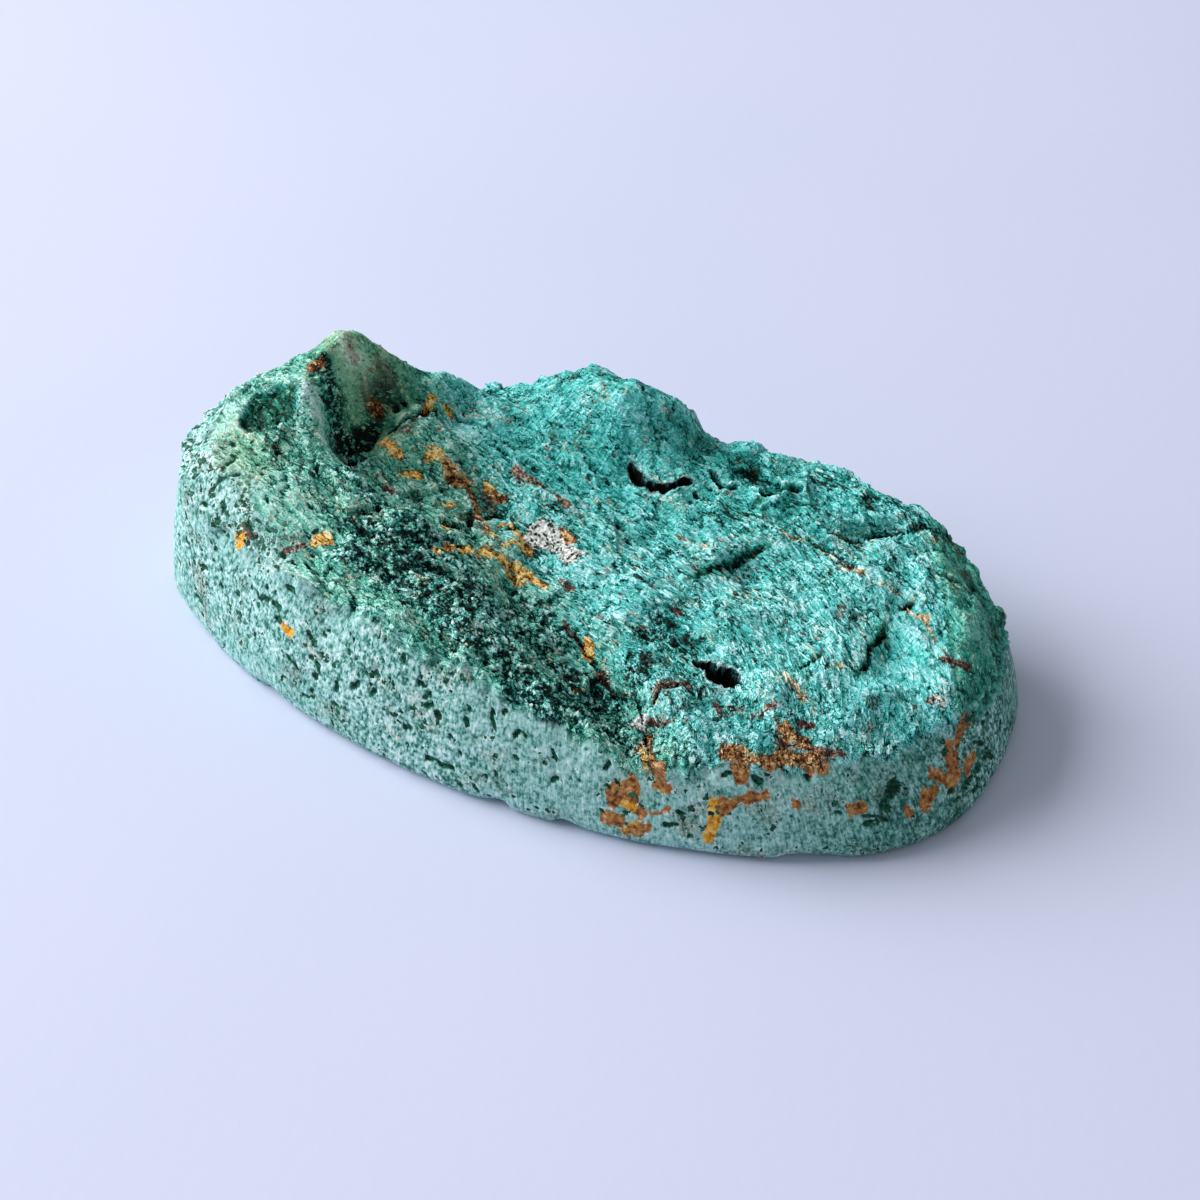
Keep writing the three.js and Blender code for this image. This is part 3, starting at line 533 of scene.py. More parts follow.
# %% Pits of the side
# Pits of the side, and of the face's lower edge.
PITS = [
    (0.15, [[-26.8, -6.3, 6.8], [-26.3, -7.0, 6.5]]), (0.15, [[-25.5, -8.1, 3.0], [-24.8, -8.5, 2.9]]),
    (0.1, [[-25.2, -8.1, 1.7], [-24.3, -8.9, 2.1]]), (0.15, [[-18.8, -10.3, 6.9], [-18.1, -10.5, 7.2]]),
    (0.15, [[-17.6, -10.6, 7.2], [-16.9, -10.9, 7.2]]), (0.12, [[-16.5, -10.4, 8.9], [-15.8, -10.6, 8.9]]),
    (0.2, [[-11.4, -10.7, 9.9], [-10.8, -11.4, 9.8]]), (0.1, [[-15.6, -11.9, 5.5], [-15.5, -11.9, 5.5]]),
    (0.15, [[-14.3, -11.8, 6.7], [-13.8, -12.1, 6.3]]), (0.12, [[-14.0, -12.4, 5.2], [-13.6, -12.5, 5.2]]),
    (0.15, [[-13.4, -12.6, 5.1], [-13.0, -12.9, 4.4]]), (0.12, [[-15.9, -12.1, 4.3], [-15.6, -12.2, 4.2]]),
    (0.12, [[-15.3, -12.3, 4.1], [-14.9, -12.5, 3.8]]), (0.2, [[-11.5, -13.3, 4.5], [-11.5, -13.3, 3.9]]),
    (0.17, [[-10.2, -13.5, 4.9], [-9.8, -13.5, 5.3]]), (0.12, [[-14.4, -13.1, 2.1], [-13.4, -13.3, 2.5]]),
    (0.15, [[-11.7, -13.7, 2.9], [-11.0, -13.8, 2.9]]), (0.12, [[-10.9, -12.6, 7.1], [-10.7, -12.7, 6.9]]),
    (0.07, [[-13.1, -11.9, 7.2], [-12.8, -12.1, 7.0]]), (0.1, [[-8.6, -13.2, 6.6], [-8.3, -13.4, 6.5]]),
    (0.12, [[-8.7, -13.8, 5.0], [-8.4, -13.8, 5.5]]), (0.1, [[-6.8, -12.8, 8.4], [-6.4, -13.0, 7.9]]),
    (0.15, [[-5.2, -13.5, 7.1], [-4.8, -13.5, 7.0]]), (0.15, [[-4.7, -13.8, 6.3], [-4.4, -13.7, 6.6]]),
    (0.15, [[-4.5, -14.1, 5.8], [-4.1, -14.0, 6.1]]), (0.24, [[-3.6, -14.3, 5.6], [-3.6, -13.6, 5.6]]),
    (0.2, [[-3.4, -14.2, 5.5], [-3.0, -14.0, 5.4]]), (0.17, [[-1.8, -13.5, 6.8], [-1.4, -13.8, 6.7]]),
    (0.15, [[-1.5, -14.3, 6.0], [-1.4, -14.4, 5.7]]), (0.1, [[0.1, -13.8, 7.0], [0.2, -14.0, 6.5]]),
    (0.1, [[0.3, -14.1, 6.3], [0.6, -14.3, 5.9]]), (0.12, [[0.8, -13.7, 7.0], [1.0, -13.7, 7.1]]),
    (0.12, [[1.9, -14.2, 5.8], [2.1, -14.1, 6.2]]), (0.12, [[2.5, -14.1, 6.2], [2.6, -14.2, 6.0]]),
    (0.15, [[-5.9, -14.5, 3.8], [-5.5, -14.5, 3.9]]), (0.12, [[-4.0, -14.7, 3.7], [-3.8, -14.8, 3.4]]),
    (0.15, [[-4.1, -15.1, 2.2], [-3.5, -15.1, 2.3]]), (0.15, [[-3.2, -15.2, 2.2], [-2.2, -15.3, 2.2]]),
    (0.1, [[4.5, -14.2, 5.6], [4.9, -14.4, 5.0]]), (0.15, [[8.1, -14.0, 5.3], [8.3, -13.8, 5.7]]),
    (0.1, [[5.2, -13.5, 7.0], [5.8, -13.4, 7.1]]), (0.12, [[5.1, -14.8, 3.9], [4.8, -14.9, 3.6]]),
    (0.49, [[24.7, -7.9, 3.9], [25.0, -7.3, 4.5]]), (0.24, [[24.9, -8.5, 3.8], [25.1, -8.4, 3.5]]),
    (0.29, [[21.9, -8.8, 4.6], [22.5, -8.5, 4.7]]), (0.22, [[27.9, -1.3, 6.1], [28.0, -0.7, 6.1]]),
    (0.12, [[28.5, 0.1, 5.4], [28.7, 0.5, 5.4]]), (0.2, [[29.5, 1.5, 3.4], [29.4, 1.8, 3.9]]),
    (0.15, [[28.8, -1.3, 4.3], [28.9, -0.3, 3.7]]), (0.22, [[29.2, -1.2, 3.2], [29.3, -0.5, 3.0]]),
    (0.2, [[29.1, -2.4, 2.9], [29.2, -1.9, 2.9]]), (0.2, [[28.8, -3.7, 2.7], [29.0, -2.9, 2.8]]),
    (0.22, [[29.3, -3.0, 1.8], [29.4, -2.6, 1.8]]), (0.12, [[28.1, -5.2, 2.9], [28.3, -4.6, 3.0]]),
    (0.12, [[28.5, -4.8, 2.2], [28.6, -4.4, 2.2]]), (0.22, [[17.3, -11.6, 6.2], [17.6, -11.6, 5.9]]),
    (0.17, [[15.5, -12.4, 6.2], [15.7, -12.2, 6.4]]), (0.24, [[17.5, -12.4, 3.1], [18.0, -12.2, 3.3]]),
    (0.17, [[12.4, -14.3, 2.3], [13.1, -14.1, 2.5]]), (0.12, [[13.1, -13.9, 3.4], [13.5, -13.9, 3.4]]),
    (0.12, [[24.1, -9.6, 2.8], [24.5, -9.2, 2.9]]),
    (0.1, [[23.9, -9.5, 3.3], [24.6, -9.0, 3.2], [25.2, -8.7, 2.8]]),
    (0.15, [[24.6, -6.2, 6.3], [24.7, -6.0, 6.5]]), (0.15, [[-24.2, -4.9, 12.3], [-23.8, -3.7, 12.5]]),
    (0.12, [[-24.6, -6.1, 11.0], [-24.0, -5.6, 11.9], [-22.9, -5.0, 12.3]]),
    (0.12, [[-19.5, -5.1, 12.1], [-19.4, -4.5, 12.1]]), (0.1, [[-20.2, -7.5, 11.2], [-19.7, -7.6, 11.2]]),
    (0.1, [[-25.0, -6.5, 10.4], [-24.6, -6.7, 10.3]]), (0.1, [[-19.3, -7.8, 10.9], [-18.5, -7.8, 11.0]]),
    (0.1, [[-24.7, -8.0, 5.8], [-24.2, -8.2, 5.9]]), (0.15, [[-13.8, -9.1, 10.5], [-13.9, -9.7, 10.3]]),
    (0.12, [[-15.8, -8.9, 10.1], [-14.6, -9.8, 10.1]]),
]
print("marked pits:", len(PITS))


# %% How far inside a line a place is
def inside(lines, x, y, z, height_counts=0.2):
    """How far inside the nearest line's half width each place is, in mm; below 0 is outside.

    Height counts for less than half, so a vein keeps its width where the face is rough.
    """
    best = np.full(x.shape, -np.inf)
    for half_width, path in lines:
        path = np.array(path)
        flat = path.shape[1] == 2
        for a, b in zip(path[:-1], path[1:]):
            rise, off = (0, 0) if flat else (b[2] - a[2], z - a[2])
            step_x, step_y = b[:2] - a[:2]
            span = step_x**2 + step_y**2 + rise**2 + 1e-6
            t = clamped(((x - a[0]) * step_x + (y - a[1]) * step_y + off * rise) / span)
            gap = (x - a[0] - t * step_x) ** 2 + (y - a[1] - t * step_y) ** 2
            best = np.maximum(best, half_width - np.sqrt(gap + height_counts * (off - t * rise) ** 2))
    return best


def share_near(lines, x, y, z, soft, ragged, wider=0.0):
    """From 1 on the lines to 0 past their half widths, over a soft edge that wanders raggedly."""
    wander = noise(x / 0.9 + 0.4 * z, y / 0.9, 61) + 0.6 * noise(x / 0.4, y / 0.4 + 0.8 * z, 62)
    return smooth(0.5 + (inside(lines, x, y, z) + wider + ragged * wander) / soft)


print("inside the first vein, mm:", inside(OCHRE, np.array([-7.2]), np.array([-2.2]), np.zeros(1)).round(2))

# %% [markdown]
# ### Parts of the face and all their shares
# Some parts differ as a whole: the rounded peak, the calm back, the flat facet before the blunt end.
# They could be masked by hand; here each is a soft oval with its own middle and half sizes. One
# function then gives every share at any place, so the loose grains can ask it too.

# %% Soft ovals and shares
# Middle and half sizes in mm: x, y, along X, along Y.
PARTS = {
    "peak": (-18.6, 5.2, 4.8, 5.2),
    "calm back": (-2, 11, 17, 7),
    "hump": (-1.5, 12, 8, 4.5),
    "streaky middle": (12, -2, 15, 9),
    "lobe": (-16.4, 9, 1.6, 1.8),
    "dip by the lobe": (-13.6, 9.6, 1.3, 1.6),
    # painted light: the facet's ore is made paler where it faces the light
    "facet": (22.8, 0, 3.4, 5.2),
    "front right": (17, -8.5, 7.5, 4),
    "back rim": (12, 11, 10, 3.5),
    # painted shade: the ore of this part of the back rim is painted darker
    "shaded back rim": (12, 11, 10, 3.2),
    "pale saddle": (-12, 8, 2.4, 2.2),
    # painted light: the hollow beside the peak is painted paler against its shade
    "lit hollow": (-18.2, 4.2, 1.8, 1.4),
}
# Each stain's lines, how soft and how ragged its edge is and how much wider than its lines, in mm.
# Not all are stains: green is painted shade, deep is painted shade and duller crystal, and dark is
# the crumbly band and painted shade.
STAINS = {
    "ochre": (OCHRE, 0.4, 0.14, 0.12),
    "rust": (RUST, 0.45, 0.2, 0.14),
    "red_brown": (RED_BROWN, 0.45, 0.16, 0.06),
    "cream": (CREAM, 0.35, 0.16, 0.04),
    "green": (SCARP_SHADE, 0.22, 0.1, 0.02),
    "white": (WHITE, 0.5, 0.24, 0.3),
    "brown": (BROWN, 0.9, 0.4, 0.0),
    "dark": (DARK_BAND_AND_SHADE, 1.4, 0.6, 0.2),
    "deep": (DEEP_SHADE, 0.9, 0.4, 0.0),
}
VEINS = (-4.8, 0.6, -37)  # a place on the ochre veins in mm and the degrees they run at


def part(x, y, name):
    """1 in the middle of a part of the face, fading to 0 outside it.

    It is e to minus the fourth power of the distance from the middle, counted in half sizes.
    """
    middle_x, middle_y, half_x, half_y = PARTS[name]
    return np.exp(-(((x - middle_x) / half_x) ** 2 + ((y - middle_y) / half_y) ** 2) ** 2)


def stains(x, y, z):
    """Every share that the finish of the stone reads, at the places given."""
    shares = {name: share_near(lines, x, y, z, soft, ragged, wider)
              for name, (lines, soft, ragged, wider) in STAINS.items()}
    across_veins = turned(x - VEINS[0], y - VEINS[1], VEINS[2])[1] + 1.2 * noise(x / 2.2, y / 2.2, 65)
    below_veins = smooth(0.5 - across_veins / 4)
    peak = part(x, y, "peak")
    end = smooth(past_fold(x, y)[0] / 0.5 + 0.5) * smooth((x - 19) / 3)
    shares["sage"] = np.maximum.reduce([worn_shoulder(x, y), peak, 0.55 * below_veins, 0.55 * end])
    shares["calm"] = np.maximum(0.8 * part(x, y, "calm back"), 0.8 * peak)
    # facet: painted light, paler where the facet faces the light
    shares["facet"] = part(x, y, "facet") * (1 - end)
    # end: the blunt end's plane, painted darker: partly its own darker green, partly painted shade
    shares["end"] = end
    # back: painted shade along the back rim
    shares["back"] = part(x, y, "shaded back rim")
    # pale: the saddle paler, and painted light in the hollow beside the peak
    shares["pale"] = np.maximum(part(x, y, "pale saddle"), part(x, y, "lit hollow"))
    # far: painted shade, the ground side darker towards the right end, where less light reaches
    shares["far"] = smooth((x - 20) / 6)
    shares["along"], shares["across"], _ = lie(x, y)
    return shares


print("stains:", len(STAINS), "parts of the face:", len(PARTS))

# %% [markdown]
# ## The broken face
# The face is a grid of places over a square, pulled out into the rounded outline. Its corners are
# shaken a little in plan, so that its small facets look like broken grains and not like a net. A
# remeshed sculpt would be as fine, but a grid keeps rows and columns that the side can be joined to.
# The rim is chipped: its last millimetre is drawn in by a ragged amount.

# %% Grid of the face
ALONG, ACROSS = 310, 170  # cells
SHAKE = 0.36  # of a cell
turn_table = np.linspace(0, 1, 2001)
arc_steps = np.hypot(*np.diff(outline(turn_table)[:2]))
arc_table = np.append(0, np.cumsum(arc_steps))
PERIMETER = arc_steps.sum()


def chipped(arc):
    """How far the rim is drawn in, in mm, at a length along the outline."""
    wide, fine = (round(PERIMETER / size) for size in (1.3, 0.5))
    ragged = 0.3 * noise(arc / PERIMETER * wide, 0 * arc, 71, wide)
    return ragged + 0.16 * noise(arc / PERIMETER * fine, 0 * arc, 72, fine)


def bell(turn, middle, half_width):
    """1 at the middle of a stretch of the outline's turn, fading to 0 on both sides of it.

    It is e to minus the square of the distance in half widths, measured the short way round.
    """
    return np.exp(-(((np.mod(turn - middle + 0.5, 1) - 0.5) / half_width) ** 2))


def square_to_disc(p, q):
    """Shares of the radius and of the turn for a place in the square from -1 to 1.

    Each side of the square is bent outwards: p times the root of one less half of q squared.
    """
    u, v = p * np.sqrt(1 - q * q / 2), q * np.sqrt(1 - p * p / 2)
    return np.hypot(u, v), np.mod(np.arctan2(v, u) / (2 * np.pi), 1)


shake = np.random.default_rng(5).uniform(-SHAKE, SHAKE, (2, ACROSS + 1, ALONG + 1))
shake[:, [0, -1], :] = 0
shake[:, :, [0, -1]] = 0
square_x, square_y = np.meshgrid(np.linspace(-1, 1, ALONG + 1), np.linspace(-1, 1, ACROSS + 1))
radius_share, turn = square_to_disc(square_x + 2 * shake[0] / ALONG, square_y + 2 * shake[1] / ACROSS)
radius_share = np.minimum(radius_share, 1)
edge_x, edge_y, lean, rim_height = outline(turn)
edge = np.hypot(edge_x, edge_y)
from_rim = (edge - lean) * (1 - radius_share)
arc = np.interp(turn, turn_table, arc_table)
radius = (edge - lean) * radius_share - chipped(arc) * np.exp(-((from_rim / 0.8) ** 2))
face_x, face_y = edge_x / edge * radius, edge_y / edge * radius

print("cell of the face, mm:", round(2 * HALF_LENGTH / ALONG, 3), "by", round(2 * HALF_WIDTH / ACROSS, 3))

# %% [markdown]
# ### Rounder parts, worn edge and rough parts
# Not all of the face broke alike. The peak and the hump are rounder and lumpier than the rest, the
# middle is streaky and flatter, and towards the side at one end the ore is worn nearly smooth. Each
# part is moved towards its own average, which is what a sculptor's smoothing brush does, and then
# gets lumps of its own.

# %% Height of the face before its finest relief
RIM_WEAR_DROP, RIM_WEAR_REACH = 0.4, 2.0  # of the rounded rim, as shares of the side's lean there
LOBE_RISE, DIP_DEPTH = 0.5, 0.4  # mm
# Parts broken rounder: share in the middle, how far it is drawn towards its average and over how
# many cells each way, its rise in mm, and how much it gets of the lumps.
ROUNDER = {
    "peak": (1.0, 0.8, 6, 0.35, 1.0),
    "hump": (0.9, 1.0, 5, 0.0, 0.6),
    "streaky middle": (1.0, 0.7, 4, 0.0, 0.0),
}

plain = face_height(face_x, face_y, from_rim, rim_height) + coarse_relief(face_x, face_y)
plain = plain + folded(face_x, face_y)
lumps = 0.22 * noise(face_x / 1.1, face_y / 1.1, 66) + 0.12 * noise(face_x / 0.55, face_y / 0.55, 67)
for name, (most, towards, cells_each_way, rise, lumpy) in ROUNDER.items():
    change = towards * (averaged(plain, cells_each_way) - plain) + rise + lumpy * lumps
    plain = plain + most * part(face_x, face_y, name) * change
plain = plain + LOBE_RISE * part(face_x, face_y, "lobe")
plain = plain - DIP_DEPTH * part(face_x, face_y, "dip by the lobe")
plain = plain - RIM_WEAR_DROP * lean * clamped(1 - from_rim / (RIM_WEAR_REACH * lean)) ** 2
face_stains = stains(face_x, face_y, plain)
dark, calm, facet, end = (face_stains[name] for name in ("dark", "calm", "facet", "end"))
face_u, face_v, _ = lie(face_x, face_y)
print("face before its finest relief, mm:", plain.min().round(2), "to", plain.max().round(2))

# %% Worn edge and rough parts
WORN_WIDTH = 9  # mm, where the worn edge is widest
WORN_TURN = {"middle": 0.545, "half": 0.075, "from": 0.43, "to": 0.69}  # shares of the outline's turn

worn_reach = WORN_WIDTH * bell(turn, WORN_TURN["middle"], WORN_TURN["half"])
fade_out, fade_in = clamped(20 * (WORN_TURN["to"] - turn)), clamped(25 * (turn - WORN_TURN["from"]))
worn_reach = worn_reach * fade_out * fade_in - 1
wander = 1.1 * noise(face_x / 2.4, face_y / 2.4, 63) + 0.7 * noise(face_x / 0.8, face_y / 0.8, 64)
worn = smooth(0.5 + (worn_reach - from_rim + wander) / 1.6)
ground_face = worn * smooth(0.5 + (0.45 * worn_reach - from_rim + wander) / 2.5)
grainy = np.maximum(part(face_x, face_y, "front right"), 0.7 * part(face_x, face_y, "back rim"))
streaky = part(face_x, face_y, "streaky middle")
rough = 1 + 0.1 * dark - 0.85 * worn - 0.6 * calm
rough = rough - 0.5 * facet - 0.4 * end - 0.35 * streaky - 0.3 * grainy
print("roughness, least to most:", rough.min().round(2), "to", rough.max().round(2))

# %% [markdown]
# ### Grains, pits and clots
# Last comes what a fingertip feels: small plates and splits, pits where a grain fell out, and in the
# dark band clots of crystal the size of a pinhead. They could be a displacement texture, but as part
# of the mesh they cast their own shadows from every side.

# %% Finest relief of the face
PIT_CELL = (0.95, 0.6)  # mm along and across the foliation

small_pits = 0.9 * pits(face_u / PIT_CELL[0], face_v / PIT_CELL[1], 0.05 + 0.5 * dark + 0.35 * worn, 81)
clots = 0.3 * noise(face_x / 0.62, face_y / 0.62, 68) + 0.2 * noise(face_x / 0.36, face_y / 0.36, 69)
marks = 0.7 * np.sqrt(clamped(0.04 + inside(PITS, face_x, face_y, plain, 0.6)))
small_pits = np.maximum(small_pits, marks)
face_depth = sunk(face_x, face_y)
face_z = plain + fine_relief(face_u, face_v, rough) - small_pits - face_depth
face_z = face_z + (dark + 0.4 * grainy) * clots
print("face:", face_z.size, "places, heights", face_z.min().round(2), "to", face_z.max().round(2), "mm")

# %% [markdown]
# ## The ground side and the sawn base
# A grinding wheel has smoothed the side and left it pocked where softer grains fell out. It could be
# an extruded outline, but the rim it has to meet is ragged, so its grid has one column for every
# place of the rim and runs down in rows. The side leans in towards the rim by the rim's average
# height near there, so that one high grain doesn't flute the whole column below it.

# %% Rows of the side
SIDE_BEND = 1.7  # how late the side leans in towards the rim
SIDE_ROWS = 42
SIDE_FOOT = 1.2  # mm, where the rows end and the worn lower edge begins
BASE_EDGE = np.array([[0.8, 0.08], [0.42, 0.27], [0.15, 0.6], [0, 0.9], [0, 1.15]])  # height, inset
LEVELLED = 12  # columns to each side that the rim's height is averaged over for the lean

columns, lines_down = ALONG + 1, ACROSS + 1
grid = np.arange(columns * lines_down).reshape(lines_down, columns)
rim = np.concatenate([grid[0, :-1], grid[:-1, -1], grid[-1, :0:-1], grid[:0:-1, 0]])
rim_turn, rim_arc, top = turn.ravel()[rim], arc.ravel()[rim], face_z.ravel()[rim]

falls = 1 - np.arange(1, SIDE_ROWS + 1)[:, None] / SIDE_ROWS
side_z = np.vstack([SIDE_FOOT + (top - SIDE_FOOT) * falls, np.repeat(BASE_EDGE[:, :1], rim.size, 1)])
inset = np.repeat(np.append(np.zeros(SIDE_ROWS), BASE_EDGE[:, 1])[:, None], rim.size, 1)
side_turn = np.repeat(rim_turn[None], len(side_z), 0)
side_arc = np.repeat(rim_arc[None], len(side_z), 0)

edge_x, edge_y, lean, _ = outline(side_turn)
edge = np.hypot(edge_x, edge_y)
level = np.mean([np.roll(top, k) for k in range(-LEVELLED, LEVELLED + 1)], 0)
kept = 1 - (lean * clamped(side_z / level) ** SIDE_BEND + inset) / edge
bare_x, bare_y = edge_x * kept, edge_y * kept
ahead, behind = outline(side_turn + 1e-4)[:2], outline(side_turn - 1e-4)[:2]
away = np.stack([ahead[1] - behind[1], behind[0] - ahead[0]])
away = away / np.hypot(*away)

print("side:", len(side_z), "rows of", rim.size, "places")

# %% [markdown]
# ### Ragged upper edge, pits and nicks
# The ore hangs over the ground side by a few tenths of a millimetre, more in some stretches, and
# stops short of it at the worn end. Soft grains have fallen out of the side in clusters. A wheel
# can't reach into either, so both are pressed into the finished side, straight inwards.

# %% Press the edge and the pits into the side
# Stretches of the outline's turn: middle, half width, and the overhang in mm that each one adds.
OVERHANG = 0.45
OVERHANGS = [(0.69, 0.06, 0.4), (0.0, 0.05, 0.6), (0.25, 0.12, 0.5), (0.56, 0.07, -1.6)]

broken_edge = sum((more * bell(side_turn, *stretch) for *stretch, more in OVERHANGS), OVERHANG)
wide, fine = round(PERIMETER / 3.1), round(PERIMETER / 0.9)
broken_edge = broken_edge * (1 + 0.5 * noise(side_arc / PERIMETER * wide, 0 * side_z, 91, wide))
broken_edge = broken_edge + 0.35 * noise(side_arc / PERIMETER * fine, side_z / 0.9, 92, fine)
ground = smooth(0.5 + (top - side_z - broken_edge) / 0.5)

pocked = 0.08 + 0.45 * bell(side_turn, 0.6, 0.055) * np.exp(-(((side_z - 5.8) / 2.4) ** 2))
pocked = pocked + 0.3 * bell(side_turn, 0.7, 0.04) + 0.35 * bell(side_turn, 0.985, 0.03)
large, little = round(PERIMETER / 1.1), round(PERIMETER / 0.62)
pitted = 0.7 * pits(side_arc / PERIMETER * large, side_z / 0.95, 0.35 * pocked, 95, large)
little_pits = 0.5 * pits(side_arc / PERIMETER * little, side_z / 0.55, 0.03 + 0.7 * pocked, 96, little)
pitted = np.maximum(pitted, little_pits)
deep_in = inside(PITS, bare_x, bare_y, side_z, 1.0) + 0.05
deep_in = deep_in + 0.07 * noise(side_arc / 0.35, side_z / 0.35, 97)
pitted = np.maximum(pitted, 0.6 * np.sqrt(clamped(deep_in)))
pitted = pitted * smooth(side_z / 0.7 - 0.4)

nicks = 0.9 * clamped(noise(side_arc / 2.2, 0 * side_z, 98) - 0.35) * np.exp(-((side_z / 1.1) ** 2))
uneven = 0.07 * noise(side_arc / 2.6, side_z / 2.6, 99)
broken_side = (1 - ground) * (fine_relief(side_arc, side_z * 1.1, 1.1, PERIMETER)
                              + 0.15 * noise(side_arc / 1.2, side_z / 1.0, 100))
outward = uneven + broken_side - pitted - nicks
outward = outward - chipped(side_arc) * np.exp(-(((top - side_z) / 0.9) ** 2))

side_x, side_y = bare_x + outward * away[0], bare_y + outward * away[1]
print("side:", side_x.size, "places,", (pitted > 0.1).mean().round(3), "of them in pits")

# %% [markdown]
# ## One closed skin
# Face, side and base are joined along shared places, so the skin has no seam. Baking a picture of
# the finish onto the part needs a flat map. Blender can unwrap one, but on so broken a face that
# gives thousands of scraps, so the map is laid out here: the face fills the upper half, the side
# lies below it in three strips, the base in a corner.

# %% Join the parts and lay out the flat map
def quads(index, closed=False):
    """Four corners of every cell of a grid of places, anticlockwise when rows run upwards."""
    after = np.roll(index, -1, 1) if closed else index[:, 1:]
    index = index if closed else index[:, :-1]
    return np.stack([index[:-1], after[:-1], after[1:], index[1:]], -1).reshape(-1, 4)


def flat_map(rows, cells, low, high):
    """Corners of a grid's cells spread evenly over a rectangle of the flat map."""
    u = np.linspace(low[0], high[0], cells + 1)
    v = np.linspace(low[1], high[1], rows + 1)
    corners = np.stack(np.meshgrid(u, v), -1)
    cell = [corners[:-1, :-1], corners[:-1, 1:], corners[1:, 1:], corners[1:, :-1]]
    return np.stack(cell, 2)


places = np.concatenate([
    np.column_stack([face_x.ravel(), face_y.ravel(), face_z.ravel()]),
    np.column_stack([side_x.ravel(), side_y.ravel(), side_z.ravel()]),
    [[0, 0, 0]],
])
rings = np.vstack([rim, grid.size + np.arange(side_x.size).reshape(side_x.shape)])
face_cells, side_cells = quads(grid), quads(rings, closed=True)[:, [0, 3, 2, 1]]
base_cells = np.column_stack([np.full(rim.size, len(places) - 1), np.roll(rings[-1], -1), rings[-1]])

MARGIN, FACE_FLOOR = 0.004, 0.464  # shares of the map: its border, and where the face's half starts
STRIP_TOPS, STRIP_HEIGHT = (0.455, 0.345, 0.235), 0.1
BASE_SIZE, BASE_MIDDLE = (0.25, 0.12), (0.15, 0.063)

strip = rim.size // len(STRIP_TOPS)
face_map = flat_map(ACROSS, ALONG, (MARGIN, FACE_FLOOR), (1 - MARGIN, 1 - MARGIN))
strips = [flat_map(len(rings) - 1, strip, (MARGIN, high), (1 - MARGIN, high - STRIP_HEIGHT))
          for high in STRIP_TOPS]
side_map = np.concatenate(strips, 1)[:, :, [0, 3, 2, 1]]
base_map = places[base_cells][..., :2] / [2 * HALF_LENGTH / BASE_SIZE[0], 2 * HALF_WIDTH / BASE_SIZE[1]]
base_map = base_map + BASE_MIDDLE

box_low, box_high = (np.array(corner) * 1000 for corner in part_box("stone"))
middle = (places.min(0) + places.max(0))[:2] / 2
places[:, :2] += (box_low + box_high)[:2] / 2 - middle
print("stone, mm:", places.min(0).round(2), "to", places.max(0).round(2))
print("plain solid, mm:", box_low.round(2), "to", box_high.round(2))
print("triangles:", 2 * (len(face_cells) + len(side_cells)) + len(base_cells))

# %% [markdown]
# ## Attributes for the finish
# The finish must know where the stone is ground, stained, pitted or standing proud. Painted masks
# would do it in Blender. Here each is stored as one number at every place of the mesh, which is
# sharper and needs no picture. `tone` is the height less its mean over the neighbours, and it paints
# light and shade of the relief into the colour: crumbs stand out painted pale and the gaps between
# them painted dark.

# %% Shares at every place, and the mesh
def proud(field):
    """How far each place stands over its near and its wider neighbours, where 1 is about 0.12 mm."""
    return ((field - averaged(field, 2)) + 0.4 * (field - averaged(field, 7))) / 0.12


# black: the black pit, its tail and the slit are painted near black inside, as painted shade
black = clamped(averaged(sunk(face_x, face_y, BLACK_SHADE, ("slit",)), 1) / 0.2 - 0.6)
glassy = clamped(sunk(face_x, face_y, GLASSY, ()) / 0.4)
# pit: cavities and pits, where the ore is painted darker, partly painted shade in the recesses
face_cut = clamped(face_depth / 0.7 + small_pits / 0.16 - 0.1) * (1 - 0.7 * glassy)
side_stains = stains(side_x, side_y, side_z)
shares = {name: np.concatenate([face_stains[name].ravel(), side_stains[name].ravel(), [0]])
          for name in face_stains}
# tone: painted light and shade of the relief, paler where a place stands proud, darker in gaps
shares["tone"] = np.concatenate([proud(face_z).ravel(), proud(outward).ravel(), [0]])
shares["pit"] = np.concatenate([face_cut.ravel(), clamped(pitted / 0.14 - 0.2).ravel(), [0]])
shares["ground"] = np.concatenate([ground_face.ravel(), ground.ravel(), [1]])
shares["pocked"] = np.concatenate([worn.ravel(), pocked.ravel(), [0]])
for title, values in (("black", black), ("glassy", glassy)):
    shares[title] = np.concatenate([values.ravel(), 0 * side_x.ravel(), [0]])
shares["around"] = np.concatenate([face_x.ravel(), side_arc.ravel(), [0]])
shares["around"][rings[-1]] = places[rings[-1], 1]  # the saw's marks run straight over the base


def make_piece(name, corners, faces, uv, smoothed, shares):
    """A mesh in metres with its flat map, shading and shares, linked to the scene."""
    mesh = bpy.data.meshes.new(name)
    mesh.from_pydata((corners / 1000).tolist(), [], faces)
    mesh.uv_layers.new(name="OFBake").data.foreach_set("uv", uv.astype(np.float32).ravel())
    mesh.polygons.foreach_set("use_smooth", smoothed)
    for title, values in shares.items():
        mesh.attributes.new(title, "FLOAT", "POINT").data.foreach_set("value", values.astype(np.float32))
    piece = bpy.data.objects.new(name, mesh)
    bpy.context.scene.collection.objects.link(piece)
    return piece


uv = np.concatenate([face_map.reshape(-1, 2), side_map.reshape(-1, 2), base_map.reshape(-1, 2)])
cell_worn = worn.ravel()[face_cells].mean(1) > 0.6
smoothed = np.concatenate([cell_worn, np.ones(len(side_cells), bool), np.zeros(len(base_cells), bool)])
stone = make_piece("ore_stone", places, face_cells.tolist() + side_cells.tolist() + base_cells.tolist(),
                   uv, smoothed, shares)
print("tone:", np.percentile(shares["tone"], [5, 50, 95]).round(3))
